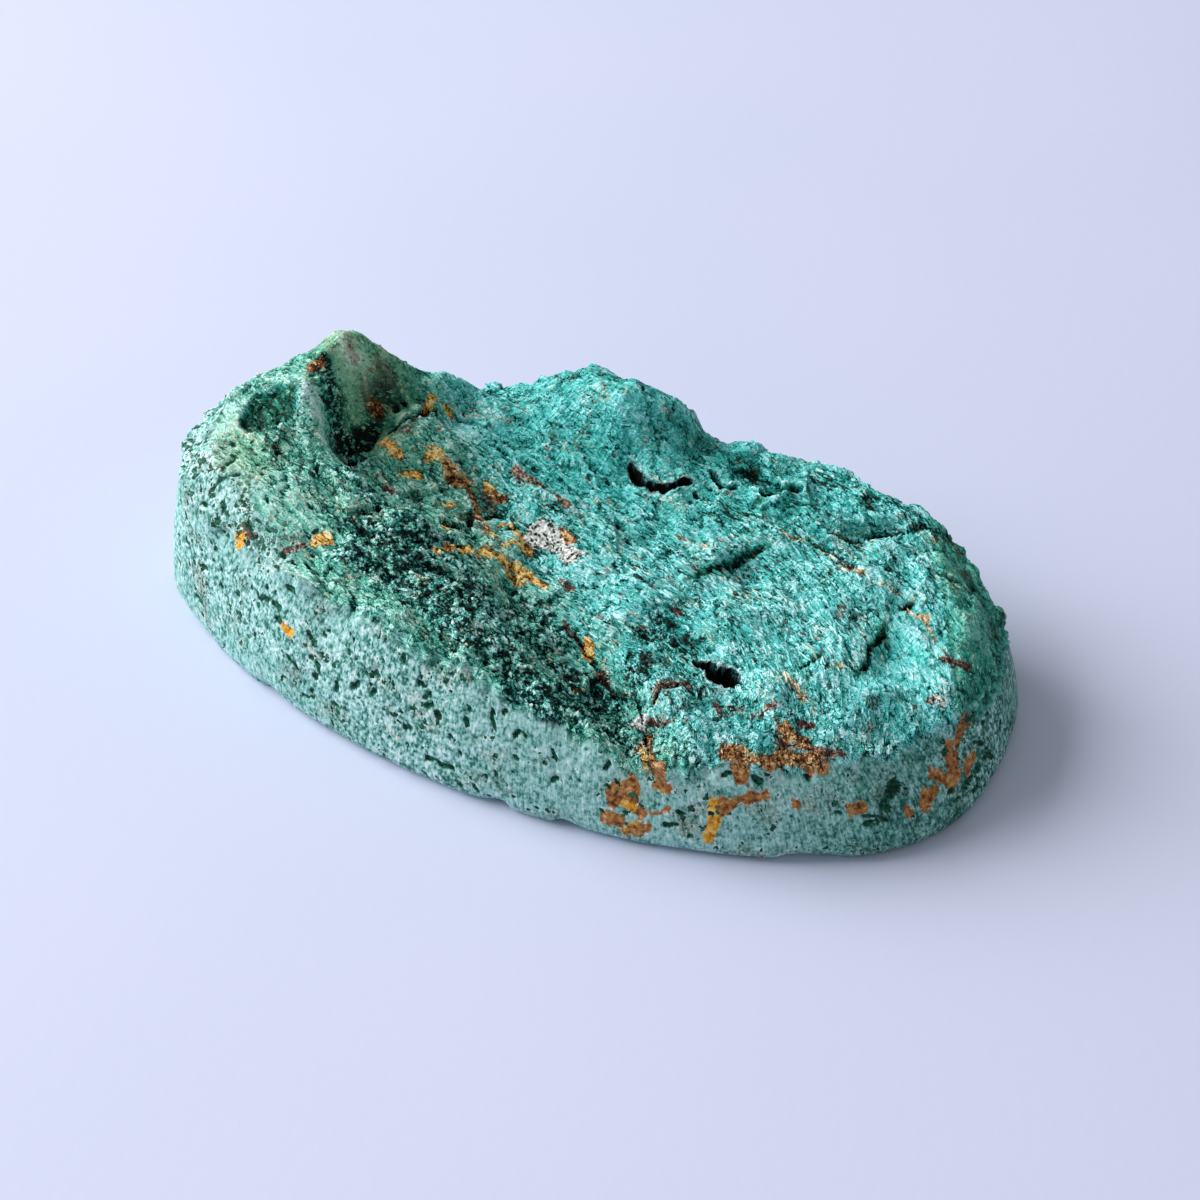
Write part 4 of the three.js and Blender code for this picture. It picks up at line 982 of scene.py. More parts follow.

# %% [markdown]
# ## Flakes and crumbs
# Under a lens the broken face is a crust of thin flakes and splinters that lie along the foliation,
# with crumbs of sugar-like crystal between them. A particle system would scatter copies, but the
# part must be plain meshes, so each flake is worked out in place: a rough hexagon with a bevelled
# rim. A splinter is long and narrow with a ridge, a crumb an eight-sided grain. Each keeps one tone
# of its own and takes the stains of the ore below it.

# %% Shapes of a flake, a splinter and a crumb
# Corners in shares of the half sizes, triangles, and how much paler each corner is: painted light
# and shade, paler on top and at the rim, darker underneath.
ring = np.radians(np.arange(6) * 60 + 30)
ring = np.stack([np.cos(ring), np.sin(ring)], -1)
FLAKE = np.vstack([np.column_stack([ring * 0.8, np.full(6, 0.6)]),
                   np.column_stack([ring, np.full(6, -1)]), [[0, 0, 0.8]]])
corner = np.arange(6)
after = (corner + 1) % 6
FLAKE_TOP = np.vstack([np.column_stack([np.full(6, 12), corner, after]),
                       np.column_stack([corner, corner + 6, after + 6]),
                       np.column_stack([corner, after + 6, after])])
FLAKE_UNDER = np.array([[6, 8, 7], [6, 9, 8], [6, 10, 9], [6, 11, 10]])
FLAKE_LIGHT_AND_SHADE = np.array([1.1] * 6 + [-2.4] * 6 + [-0.1])

SLIVER = np.array([[1, 0, -1], [0.5, 1, -1], [-0.5, 1, -1], [-1, 0, -1], [-0.5, -1, -1], [0.5, -1, -1],
                   [0.5, 0.1, 1], [-0.6, -0.1, 0.8]])
SLIVER_TOP = np.array([[0, 1, 6], [1, 2, 7], [1, 7, 6], [2, 3, 7], [3, 4, 7], [4, 5, 6], [4, 6, 7],
                       [5, 0, 6]])
SLIVER_UNDER = np.array([[0, 2, 1], [0, 3, 2], [0, 4, 3], [0, 5, 4]])
SLIVER_LIGHT_AND_SHADE = np.array([-1.2] * 6 + [0.9] * 2)

CRUMB = np.array([[1, 0, 0], [0, 1, 0], [-1, 0, 0], [0, -1, 0], [0, 0, 1], [0, 0, -1]])
CRUMB_TOP = np.array([[0, 1, 4], [1, 2, 4], [2, 3, 4], [3, 0, 4]])
CRUMB_UNDER = np.array([[1, 0, 5], [2, 1, 5], [3, 2, 5], [0, 3, 5]])
CRUMB_LIGHT_AND_SHADE = np.array([-0.5] * 4 + [1.0, -1.0])
print("corners of a flake, a splinter and a crumb:", len(FLAKE), len(SLIVER), len(CRUMB))

# %% Which way the face looks
# Across each cell run two slopes; their cross product points away from the face and is as long as
# the cell is large.
below = averaged(face_z, 2)
along_i = np.stack([np.gradient(field, axis=1) for field in (face_x, face_y, below)], -1)
along_j = np.stack([np.gradient(field, axis=0) for field in (face_x, face_y, below)], -1)
upright = np.cross(along_i, along_j)
cell_area = np.linalg.norm(upright, axis=-1)
upright = upright / cell_area[..., None]
print("broken face, square mm:", cell_area[:-1, :-1].sum().round())


# %% Scatter them over the face
def unit(v):
    return v / np.linalg.norm(v, axis=-1, keepdims=True)


def calmed(j, i):
    """How strongly a flake there may lean: most in the dark band, least on the calm back."""
    return 1 + 0.6 * face_stains["dark"][j, i] - 0.35 * face_stains["calm"][j, i]


def within_cell(j, i, f, g):
    """Places inside cells of the face: their four corners blended by the shares f and g."""
    surface = places[:face_z.size].reshape(lines_down, columns, 3)
    near = surface[j, i] * (1 - f) + surface[j, i + 1] * f
    far = surface[j + 1, i] * (1 - f) + surface[j + 1, i + 1] * f
    return near * (1 - g) + far * g


def own_squares(count, corners, top, under):
    """A square of the flat map for each piece: its top spread out, its hidden underside in a corner."""
    wide = int(np.ceil(np.sqrt(count)))
    square = np.stack(np.divmod(np.arange(count), wide)[::-1], -1)[:, None, None]
    spread = corners[:, :2] * 0.4 + 0.52
    hidden = 0.06 + corners[under][..., :2] * 0.03
    uv = np.concatenate([np.broadcast_to(spread[top], (count, *top.shape, 2)),
                         np.broadcast_to(hidden, (count, *under.shape, 2))], 1)
    return (square + uv) / wide


def scatter(name, shape, count, seed, likely, scale, half_sizes, tilt, stray, own_tone):
    """count pieces of one shape lying on the face, thicker where likely is high.

    Each lies in a cell drawn by area times likelihood. It is turned from the foliation by up to
    stray degrees, its normal leans by a random share tilt, its half sizes are drawn between the two
    rows given, small ones oftener, times the scale there, and its corners stray by a quarter.
    own_tone is how much paler or darker than its neighbours a piece may be.
    """
    corners, top, under, corner_light_and_shade = shape
    rng = np.random.default_rng(seed)
    odds = np.cumsum((cell_area * likely)[:-1, :-1].ravel())
    cell = np.minimum(np.searchsorted(odds, rng.random(count) * odds[-1]), odds.size - 1)
    j, i = np.divmod(cell, ALONG)
    centre = within_cell(j, i, *rng.random((2, count, 1)))
    turn_by = np.radians(lie(*centre.T[:2])[2] + stray * rng.uniform(-1, 1, count))
    ahead = np.stack([np.cos(turn_by), np.sin(turn_by), np.zeros(count)], -1)
    up = unit(upright[j, i] + (tilt * calmed(j, i))[:, None] * rng.normal(size=(count, 3)))
    first = unit(ahead - (ahead * up).sum(1, keepdims=True) * up)
    axes = np.stack([first, np.cross(up, first), up], 1)
    least, most = np.array(half_sizes)
    half = (least + (most - least) * rng.random((count, 1)) ** 2.2) * scale[j, i][:, None]
    half = half * rng.uniform(0.8, 1.2, (count, 3))
    knocked = rng.uniform(0.72, 1.25, (count, 6, 1))[:, np.arange(len(corners)) % 6]
    shaped = corners * half[:, None] * np.concatenate([knocked, knocked, 0 * knocked + 1], 2)
    shaped = centre[:, None] + shaped @ axes

    faces = (np.arange(count)[:, None, None] * len(corners) + np.vstack([top, under])).reshape(-1, 3)
    lain_on = {title: np.repeat(values, len(corners)) for title, values in stains(*centre.T).items()}
    # own tone at random, plus painted light and shade at the corners
    lain_on["tone"] = (own_tone * rng.normal(0, 1, (count, 1)) + 0.9 * corner_light_and_shade).ravel()
    for title, field in (("pit", face_cut), ("black", black), ("glassy", glassy)):
        lain_on[title] = np.repeat(field[j, i], len(corners))
    flat_shaded = np.zeros(len(faces), bool)
    piece = make_piece(name, shaped.reshape(-1, 3), faces.tolist(), own_squares(count, *shape[:3]),
                       flat_shaded, lain_on)
    print(name, "has", count, "pieces and", len(faces), "triangles")
    return piece


open_rock = (1 - worn) ** 2 * (1 - clamped(2 * black)) * (1 - 0.9 * face_stains["white"])
smoother = clamped(calm + 0.8 * facet + 0.7 * end)
flake_odds = open_rock * (1 - 0.3 * dark) * (1 - 0.8 * streaky) + 0.02
sliver_odds = open_rock * (0.6 + 0.7 * streaky) * (1 - 0.6 * smoother) * (1 - 0.8 * grainy) + 0.02
crumb_odds = open_rock * (0.5 - 0.4 * streaky + 1.6 * dark - 0.4 * smoother + 0.5 * grainy) + 0.03
flakes = scatter("ore_flakes", (FLAKE, FLAKE_TOP, FLAKE_UNDER, FLAKE_LIGHT_AND_SHADE), 3500, 21,
                 flake_odds, 1 - 0.3 * smoother,
                 [(0.12, 0.08, 0.03), (0.45, 0.25, 0.05)], tilt=0.1, stray=25, own_tone=0.5)
slivers = scatter("ore_slivers", (SLIVER, SLIVER_TOP, SLIVER_UNDER, SLIVER_LIGHT_AND_SHADE), 10000, 23,
                  sliver_odds, 0.9 + 0.2 * streaky - 0.3 * smoother,
                  [(0.14, 0.04, 0.03), (0.6, 0.13, 0.1)], tilt=0.15, stray=16, own_tone=0.6)
crumbs = scatter("ore_crumbs", (CRUMB, CRUMB_TOP, CRUMB_UNDER, CRUMB_LIGHT_AND_SHADE), 16000, 22,
                 crumb_odds, 0.85 + 0.8 * dark - 0.2 * smoother,
                 [(0.07, 0.06, 0.04), (0.19, 0.14, 0.11)], tilt=0.35, stray=60, own_tone=1.1)

# %% [markdown]
# ## Nodes for the finishes
# A finish could be an image wrapped round the stone. Here it is procedural, which stays sharp at
# any distance: patterns are read at the object's own coordinates, so they stay put on the stone. A
# few short helpers keep the node trees readable.

# %% Node helpers
def paint(colour):
    """A web colour such as #58b5a3 as the linear numbers that Blender mixes."""
    rgb = np.array([int(colour[k:k + 2], 16) for k in (1, 3, 5)]) / 255
    return (*np.where(rgb <= 0.04045, rgb / 12.92, ((rgb + 0.055) / 1.055) ** 2.4), 1)


def node(tree, kind, inputs=None, **settings):
    """A new node with its settings; each input gets a number, a colour or another node's output."""
    made = tree.nodes.new("ShaderNode" + kind)
    for title, value in settings.items():
        setattr(made, title, value)
    for socket, value in (inputs or {}).items():
        if isinstance(value, bpy.types.NodeSocket):
            tree.links.new(value, made.inputs[socket])
        else:
            made.inputs[socket].default_value = value
    return made


def calc(tree, operation, *values, clamp=False):
    return node(tree, "Math", dict(enumerate(values)), operation=operation, use_clamp=clamp).outputs[0]


def added(tree, total, pattern, amount):
    """A total with a pattern added to it, times an amount."""
    return calc(tree, "MULTIPLY_ADD", pattern, amount, total)


def between(tree, value, nought, one):
    """0 where a value is at nought, 1 where it is at one, straight in between and held beyond."""
    return node(tree, "MapRange", {0: value, 1: nought, 2: one}).outputs[0]


def mixed(tree, share, under, over):
    return node(tree, "Mix", {0: share, 6: under, 7: over}, data_type="RGBA").outputs[2]


def ramp(tree, value, stops):
    """Colours blended along a value: stops are pairs of a value and a web colour."""
    made = node(tree, "ValToRGB", {0: value})
    while len(made.color_ramp.elements) < len(stops):
        made.color_ramp.elements.new(1)
    for element, (at, colour) in zip(made.color_ramp.elements, stops):
        element.position, element.color = at, paint(colour)
    return made.outputs[0]


print("turquoise in linear numbers:", np.round(paint("#3da38f"), 3))


# %% Patterns at places on the stone
def stored(tree, name):
    return node(tree, "Attribute", attribute_name=name).outputs["Fac"]


def sized(tree, along, across, up, degrees=0):
    """Object coordinates counted in cells of the given sizes in mm, turned about the upright."""
    inputs = {"Vector": node(tree, "TexCoord").outputs["Object"],
              "Rotation": (0, 0, np.radians(degrees)),
              "Scale": (along / 1000, across / 1000, up / 1000)}
    return node(tree, "Mapping", inputs, vector_type="TEXTURE").outputs[0]


def cells(tree, place, feature="F1"):
    return node(tree, "TexVoronoi", {"Vector": place, "Scale": 1}, feature=feature)


def cloud(tree, place, detail=2.0, rough=0.5):
    inputs = {"Vector": place, "Scale": 1, "Detail": detail, "Roughness": rough}
    return node(tree, "TexNoise", inputs).outputs[0]


def strayed(tree, place, scale, detail, amount):
    """Places moved by the colours of a noise times an amount, so a pattern read there looks broken."""
    noise_at = node(tree, "TexNoise", {"Vector": place, "Scale": scale, "Detail": detail})
    inputs = {0: amount, 6: place, 7: noise_at.outputs["Color"]}
    return node(tree, "Mix", inputs, data_type="RGBA", blend_type="ADD").outputs[2]


def split(tree, cell):
    """The random numbers from 0 to 1 that a pattern of cells gives to each of its cells."""
    return node(tree, "SeparateColor", {0: cell.outputs["Color"]}).outputs


def height_on_stone(tree):
    """Height over the base in metres."""
    return node(tree, "SeparateXYZ", {0: node(tree, "TexCoord").outputs["Object"]}).outputs[2]


def ragged(tree, share, pattern, soft=0.2):
    """A stored share broken up grain by grain: each grain takes it past a limit of its own."""
    over = calc(tree, "MULTIPLY_ADD", pattern, -0.78, share)
    return node(tree, "MapRange", {0: over, 1: 0.0, 2: soft}, interpolation_type="SMOOTHSTEP").outputs[0]


# %% A whole finish
def new_finish(name, colour, roughness, height, relief):
    """A finish of one Principled shader; relief is the depth in metres that height stands for."""
    material = bpy.data.materials.new(name)
    material.use_nodes = True
    tree = material.node_tree
    shader = tree.nodes["Principled BSDF"]
    made = {"Base Color": colour(tree), "Roughness": roughness(tree)}
    bump = node(tree, "Bump", {"Height": height(tree), "Distance": relief, "Strength": 1.0})
    made["Normal"] = bump.outputs[0]
    for socket, value in made.items():
        tree.links.new(value, shader.inputs[socket])
    return material, shader


# %% [markdown]
# ## Finish of the ore
# Freshly broken ore is a sugar of tiny crystals: each grain has a tone of its own between deep
# green and pale mint. Painted light and shade of the relief make crumbs that stand proud palest and
# the gaps between them nearly black. How light it is comes first, as one number between 0 and 1 to
# which patches, plates, cracks, grains and clots each add a little; the tilt of each plate and its
# pale rim are painted light and shade. That number then picks the colour from a row of colours,
# sea-green on most of the face and a duller sage on the worn parts.

# %% Colours of the ore
ORE = [(0.0, "#001c19"), (0.15, "#005850"), (0.32, "#129890"), (0.52, "#4ec4bf"), (0.75, "#84e0de"),
       (1.0, "#d4f8fc")]
SAGE = [(0.0, "#02150f"), (0.2, "#0e4434"), (0.4, "#3e8a6a"), (0.6, "#82bc92"), (0.8, "#b8dab0"),
        (1.0, "#e4f8ee")]
GROUND = [(0.0, "#1c5a4e"), (0.25, "#58988e"), (0.5, "#92c8c2"), (0.78, "#b8e0de"), (1.0, "#e2f6f6")]
OCHRE_STAIN = [(0.0, "#1c1006"), (0.3, "#84500e"), (0.5, "#d48c1c"), (0.7, "#eeb840"), (1.0, "#fae8b0")]
RUST_STAIN = [(0.0, "#0c0403"), (0.3, "#48200f"), (0.5, "#8c5628"), (0.75, "#bc8448"), (1.0, "#e8c898")]
RED_STAIN = [(0.0, "#100706"), (0.4, "#402620"), (0.7, "#785a4c"), (1.0, "#b8a090")]
WHITE_STAIN = [(0.0, "#0c1410"), (0.3, "#3c4a40"), (0.45, "#b8beb8"), (1.0, "#ffffff")]
EMERALD = [(0.0, "#00140f"), (0.35, "#02604c"), (0.65, "#1f9a80"), (1.0, "#a8ecd8")]
SEAM = [(0.0, "#2a1a0c"), (0.35, "#7a5c34"), (0.6, "#c0a878"), (1.0, "#f0e8d0")]
FRINGE = [(0.0, "#0c0a04"), (0.4, "#4e4220"), (0.7, "#8c7c4c"), (1.0, "#c4b88c")]
PIT_GREEN = [(0.0, "#021a12"), (0.5, "#0a4834"), (1.0, "#187a5c")]


def lain(tree, along, across, up):
    """Places counted in cells of the given sizes in mm along the foliation, across it and upwards."""
    place = {0: calc(tree, "DIVIDE", stored(tree, "along"), along),
             1: calc(tree, "DIVIDE", stored(tree, "across"), across),
             2: calc(tree, "MULTIPLY", height_on_stone(tree), 1000 / up)}
    return node(tree, "CombineXYZ", place).outputs[0]


def level_lines(tree, level, middle, width):
    """1 where a pattern passes a middle level, falling to 0 once it is a width off it."""
    off = calc(tree, "ABSOLUTE", calc(tree, "SUBTRACT", level, middle))
    return between(tree, off, width, 0.0)


def cracks(tree, along, across, width, least):
    """Thin dark cracks along the foliation and their pale lips, only where a second pattern is high."""
    level = cloud(tree, lain(tree, along, across, across * 2), 2.0)
    crowd = cloud(tree, lain(tree, 2.3, 1.7, 2), 1.0)
    where = between(tree, crowd, least, least + 0.06)
    crack = calc(tree, "MULTIPLY", level_lines(tree, level, 0.5, width), where)
    lip = calc(tree, "MULTIPLY", level_lines(tree, level, 0.5 + 1.9 * width, width), where)
    return crack, lip


def broken_plates(tree, along, across, warp):
    """Plates of the ore: each one's tone, how it tilts, how near its edge is, a random number."""
    place = strayed(tree, lain(tree, along, across, 0.9 * across), 1.1, 0.0, warp)
    plate = cells(tree, place)
    edge = cells(tree, place, "DISTANCE_TO_EDGE").outputs["Distance"]
    own = split(tree, plate)
    off_middle = {0: place, 1: plate.outputs["Position"]}
    off_middle = node(tree, "VectorMath", off_middle, operation="SUBTRACT").outputs[0]
    tilt = node(tree, "VectorMath", {0: off_middle, 1: (0.25, 1.0, 0.4)}, operation="DOT_PRODUCT")
    return own[0], tilt.outputs["Value"], edge, own[1]


print("darkest and palest ore:", ORE[0][1], ORE[-1][1])


# %% How light the ore is
# Plates: sizes along and across in mm, how far their edges wander, and how much each plate's own
# tone, its tilt and its pale rim count. The tilt is painted light and shade across each plate, the
# pale rim a painted highlight and the dark gap partly painted shade.
TONE_PLATES = [
    (1.4, 0.85, 1.6, 0.12, 0.1, 0.24),
    (0.62, 0.42, 1.3, 0.2, 0.34, 0.3),
    (0.28, 0.2, 1.0, 0.2, 0.3, 0.1),
]
# Cracks: sizes along and across in mm, width, where they crowd, and what crack and lip add. The
# lip is a painted highlight and the crack partly painted shade.
TONE_CRACKS = [(2.8, 0.62, 0.03, 0.46, -0.6, 0.28), (0.8, 0.4, 0.035, 0.52, -0.45, 0.2)]
# How much each stored share quietens plates and cracks, and how much paler it makes the ore. Some
# of these are painted light and shade: facet is painted light, back is painted shade, end, deep and
# pit are partly painted shade, and pale is painted light in the hollow beside the peak.
QUIETER = {"calm": -0.5, "end": -0.5, "facet": -0.4, "sage": -0.4}
PALER = {"calm": -0.06, "facet": 0.1, "end": -0.13, "back": -0.1, "pale": 0.16, "pit": -0.4,
         "deep": -0.26, "glassy": -0.1, "pocked": 0.08}


def with_plates(tree, light, quiet):
    """The tone with the plates' own tones, their tilts painted as light and shade, pale rims and dark gaps.
    """
    for along, across, warp, of_own, of_tilt, of_rim in TONE_PLATES:
        plate, tilt, edge, other = broken_plates(tree, along, across, warp)
        shade = calc(tree, "MULTIPLY_ADD", plate, of_own, -of_own / 2)
        shade = added(tree, shade, tilt, of_tilt)
        rim = added(tree, between(tree, edge, 0.2, 0.1), between(tree, edge, 0.08, 0.02), -1.9)
        rim = calc(tree, "MULTIPLY", rim, between(tree, other, 0.35, 0.5))
        light = added(tree, light, added(tree, shade, rim, of_rim), quiet)
    return light


def with_cracks(tree, light, quiet):
    """The tone with dark cracks, partly painted shade, and a painted highlight as the pale lip beside each.
    """
    for along, across, width, least, dark, pale in TONE_CRACKS:
        crack, lip = cracks(tree, along, across, width, least)
        light = added(tree, light, calc(tree, "MULTIPLY", lip, quiet), pale)
        light = added(tree, light, calc(tree, "MULTIPLY", crack, quiet), dark)
    return light


def with_gouges(tree, light):
    """The tone with the slanting dark gouges of the worn and pocked parts."""
    gouge = cells(tree, sized(tree, 1.0, 0.42, 0.5, 62))
    limit = calc(tree, "MULTIPLY_ADD", split(tree, gouge)[1], 0.75, -0.35)
    gouged = between(tree, calc(tree, "SUBTRACT", limit, gouge.outputs["Distance"]), -0.03, 0.06)
    return added(tree, light, calc(tree, "MULTIPLY", gouged, stored(tree, "pocked")), -0.5)


def ore_tone(tree, tone_and_shade_share, paler, in_dark_band_and_shade):
    """How light the broken ore is, from 0 to 1, and the two grain patterns that go into it."""
    own = split(tree, cells(tree, sized(tree, 0.22, 0.14, 0.15, FOLIATION)))[0]
    fine = cloud(tree, sized(tree, 0.12, 0.1, 0.1, FOLIATION), 2.0)
    crumbling = calc(tree, "MULTIPLY_ADD", stored(tree, "dark"), 3.0, 0.6)
    light = paler
    for pattern in (own, fine):
        light = added(tree, light, calc(tree, "MULTIPLY_ADD", pattern, 0.16, -0.08), crumbling)
    quiet = 1.0
    for name, change in QUIETER.items():
        quiet = added(tree, quiet, stored(tree, name), change)
    light = with_plates(tree, light, quiet)
    light = with_cracks(tree, light, quiet)
    # painted light and shade of the relief: proud crumbs paler, the gaps between them darker
    light = added(tree, light, stored(tree, "tone"), tone_and_shade_share)
    patches = cloud(tree, lain(tree, 2.4, 1.1, 1.4), 3.0)
    light = calc(tree, "ADD", light, calc(tree, "MULTIPLY_ADD", patches, 0.4, -0.2))
    light = with_gouges(tree, light)
    clots = cloud(tree, sized(tree, 0.74, 0.62, 0.56), 3.0, 0.6)
    clots = calc(tree, "MULTIPLY_ADD", clots, 4.6, -2.46)
    light = added(tree, light, clots, stored(tree, "dark"))
    for name, change in {"dark": in_dark_band_and_shade, **PALER}.items():
        light = added(tree, light, stored(tree, name), change)
    return light, own, fine


print("plates of", len(TONE_PLATES), "sizes and", len(TONE_CRACKS), "kinds of crack shade the ore")


# %% [markdown]
# ### Stains over the ore
# Iron has seeped along the plates and left ochre, rust and maroon; lime has filled a few cracks with
# cream and white. A brush would lay them down evenly. Here each stored share is broken up grain by
# grain, and the stain is darker and paler where the ore under it is, as a real crust is.

# %% Colour of the broken ore
def clotted_light(tree, light):
    """How light a stain is: clots finer than a millimetre added to the tone of the ore below it."""
    clots = cloud(tree, sized(tree, 0.3, 0.2, 0.2, FOLIATION), 3.0, 0.7)
    return calc(tree, "MULTIPLY_ADD", clots, 2.6, calc(tree, "SUBTRACT", light, 1.3))


def seams_and_specks(tree, colour, light):
    """The ore's colour with thin cream seams along the foliation and rare maroon grains."""
    seam = level_lines(tree, cloud(tree, lain(tree, 2.6, 0.8, 0.8), 3.0), 0.52, 0.022)
    seam = calc(tree, "MULTIPLY", seam, between(tree, cloud(tree, sized(tree, 3, 3, 3), 2.0), 0.46, 0.56))
    seam = calc(tree, "MULTIPLY", seam, 0.85)
    colour = mixed(tree, seam, colour, ramp(tree, clotted_light(tree, light), SEAM))
    rare = split(tree, cells(tree, sized(tree, 0.4, 0.3, 0.3, FOLIATION)))[1]
    grouped = added(tree, rare, cloud(tree, sized(tree, 4, 4, 4), 2.0), 0.3)
    specks = calc(tree, "MULTIPLY", between(tree, grouped, 1.14, 1.15), 0.7)
    return mixed(tree, specks, colour, ramp(tree, light, RED_STAIN))


def ore_colour(tree, tone_and_shade_share, paler, in_dark_band_and_shade):
    """Colour of the broken ore with its stains, and the grain pattern that broke them up."""
    light, own, fine = ore_tone(tree, tone_and_shade_share, paler, in_dark_band_and_shade)
    sage = calc(tree, "MULTIPLY_ADD", stored(tree, "dark"), -0.4, 0.9)
    sage = calc(tree, "MULTIPLY", stored(tree, "sage"), sage)
    sage = calc(tree, "SUBTRACT", sage, stored(tree, "glassy"), clamp=True)
    colour = mixed(tree, sage, ramp(tree, light, ORE), ramp(tree, light, SAGE))
    # green: painted shade at the foot of the scarps, drawn with the glassy pocket's own emerald
    emerald = ramp(tree, added(tree, light, stored(tree, "green"), -0.2), EMERALD)
    clear = calc(tree, "MAXIMUM", stored(tree, "glassy"), stored(tree, "green"))
    colour = seams_and_specks(tree, mixed(tree, clear, colour, emerald), light)

    broken_up = calc(tree, "MULTIPLY_ADD", own, 0.6, calc(tree, "MULTIPLY", fine, 0.4))
    brown = calc(tree, "MULTIPLY", ragged(tree, stored(tree, "brown"), broken_up, 0.5), 0.6)
    colour = mixed(tree, brown, colour, ramp(tree, light, RED_STAIN))
    fringe = calc(tree, "MAXIMUM", stored(tree, "ochre"), stored(tree, "rust"))
    fringe = ragged(tree, calc(tree, "MULTIPLY", fringe, 1.4), broken_up)
    colour = mixed(tree, calc(tree, "MULTIPLY", fringe, 0.8), colour,
                   ramp(tree, calc(tree, "SUBTRACT", light, 0.1), FRINGE))
    clotted = clotted_light(tree, light)
    speckled = calc(tree, "MULTIPLY_ADD", own, 0.9, calc(tree, "MULTIPLY", clotted, 0.3))
    laid_on = [
        ("cream", SEAM, clotted),
        ("white", WHITE_STAIN, speckled),
        ("red_brown", RED_STAIN, clotted),
        ("ochre", OCHRE_STAIN, calc(tree, "ADD", clotted, 0.2)),
        ("rust", RUST_STAIN, calc(tree, "ADD", clotted, 0.06)),
    ]
    for name, stops, value in laid_on:
        share = ragged(tree, calc(tree, "MULTIPLY", stored(tree, name), 0.85), broken_up)
        colour = mixed(tree, share, colour, ramp(tree, value, stops))
    # painted shade: near black inside the black pit and the slit
    return mixed(tree, stored(tree, "black"), colour, paint("#020403")), own


print("stains over the ore:", [name for name in STAINS if name not in ("dark", "deep")])

# %% [markdown]
# ### The ground side
# Where the side is ground the same ore shows as a pale, chalky section with fine upright scratches,
# emerald flecks where it is pocked, and dark green pits, partly the ore's own deeper green and partly
# painted shade. Towards the right end the side is painted darker, as painted shade. The scratches
# could be a stretched image; here they are noise squeezed round the stone, so they run on without a
# join.

# %% Colour of the ground side
def tiny_pits(tree):
    """Pits too small for the mesh, the pale rim that some have, and how they crowd: three shares.

    They are cells of a warped pattern near their middles; most cells hold none.
    """
    spots = cells(tree, strayed(tree, sized(tree, 0.5, 0.5, 0.55, 30), 2.0, 1.0, 1.0))
    size = split(tree, spots)[1]
    crowd = cloud(tree, sized(tree, 3.2, 3.2, 2.4), 3.0, 0.6)
    limit = calc(tree, "MULTIPLY_ADD", crowd, 1.7, -1.0)
    limit = added(tree, limit, calc(tree, "MULTIPLY", size, size), 0.45)
    limit = added(tree, limit, stored(tree, "pocked"), 0.36)
    deep_inside = calc(tree, "SUBTRACT", limit, spots.outputs["Distance"])
    pit = between(tree, deep_inside, 0.0, 0.06)
    near = between(tree, deep_inside, -0.16, -0.04)
    return pit, calc(tree, "SUBTRACT", near, pit), crowd


def scratches(tree, per_mm, rise_per_mm):
    """Upright grinding scratches: noise squeezed round the stone and stretched up it."""
    place = {0: calc(tree, "MULTIPLY", stored(tree, "around"), per_mm),
             1: calc(tree, "MULTIPLY", height_on_stone(tree), 1000 * rise_per_mm)}
    return cloud(tree, node(tree, "CombineXYZ", place).outputs[0], 2.0, 0.6)


def side_colour(tree, own):
    """Colour of the ground side: chalky green with upright scratches, pits, tan and rust patches."""
    mottle = cloud(tree, sized(tree, 1.5, 1.5, 1.2), 5.0, 0.75)
    speckle = split(tree, cells(tree, sized(tree, 0.17, 0.17, 0.2)))[0]
    pit, rim, crowd = tiny_pits(tree)
    strength = calc(tree, "MULTIPLY_ADD", stored(tree, "pocked"), 4.2, 0.7)
    flecks = calc(tree, "SUBTRACT", cloud(tree, sized(tree, 0.3, 0.3, 0.38), 1.0, 0.7), 0.5)
    flecks = calc(tree, "MULTIPLY", flecks, calc(tree, "MINIMUM", strength, 2.2))
    light = calc(tree, "ADD", flecks, -0.73)
    # tone is painted shade of the side's relief; far is painted shade towards the right end
    parts_of_tone = [(speckle, 0.3), (mottle, 1.1), (scratches(tree, 6.0, 1.1), 1.0),
                     (stored(tree, "tone"), 0.05), (rim, 0.3), (stored(tree, "far"), -0.24)]
    for pattern, amount in parts_of_tone:
        light = added(tree, light, pattern, amount)
    colour = ramp(tree, light, GROUND)
    tan = calc(tree, "MULTIPLY", between(tree, crowd, 0.52, 0.72), 0.55)
    colour = mixed(tree, tan, colour, ramp(tree, light, FRINGE))
    emerald = calc(tree, "MULTIPLY", between(tree, flecks, -0.34, -0.46), 0.7)
    colour = mixed(tree, emerald, colour, paint("#2c8a6c"))
    broken_up = calc(tree, "MULTIPLY_ADD", speckle, 0.4, calc(tree, "MULTIPLY", mottle, 0.6))
    rusted = calc(tree, "MULTIPLY_ADD", cloud(tree, sized(tree, 0.4, 0.4, 0.4), 3.0, 0.7), 1.8, -0.3)
    for name, stops in (("ochre", OCHRE_STAIN), ("rust", RUST_STAIN), ("red_brown", RED_STAIN)):
        share = ragged(tree, calc(tree, "MULTIPLY", stored(tree, name), 0.85), broken_up)
        colour = mixed(tree, share, colour, ramp(tree, rusted, stops))
    # the pits are painted dark green: partly the ore's own deeper green, partly painted shade
    hollow = between(tree, stored(tree, "pit"), 0.22, 0.5)
    return mixed(tree, calc(tree, "MAXIMUM", hollow, pit), colour, ramp(tree, own, PIT_GREEN))


print("palest of the ground side:", GROUND[-1][1])


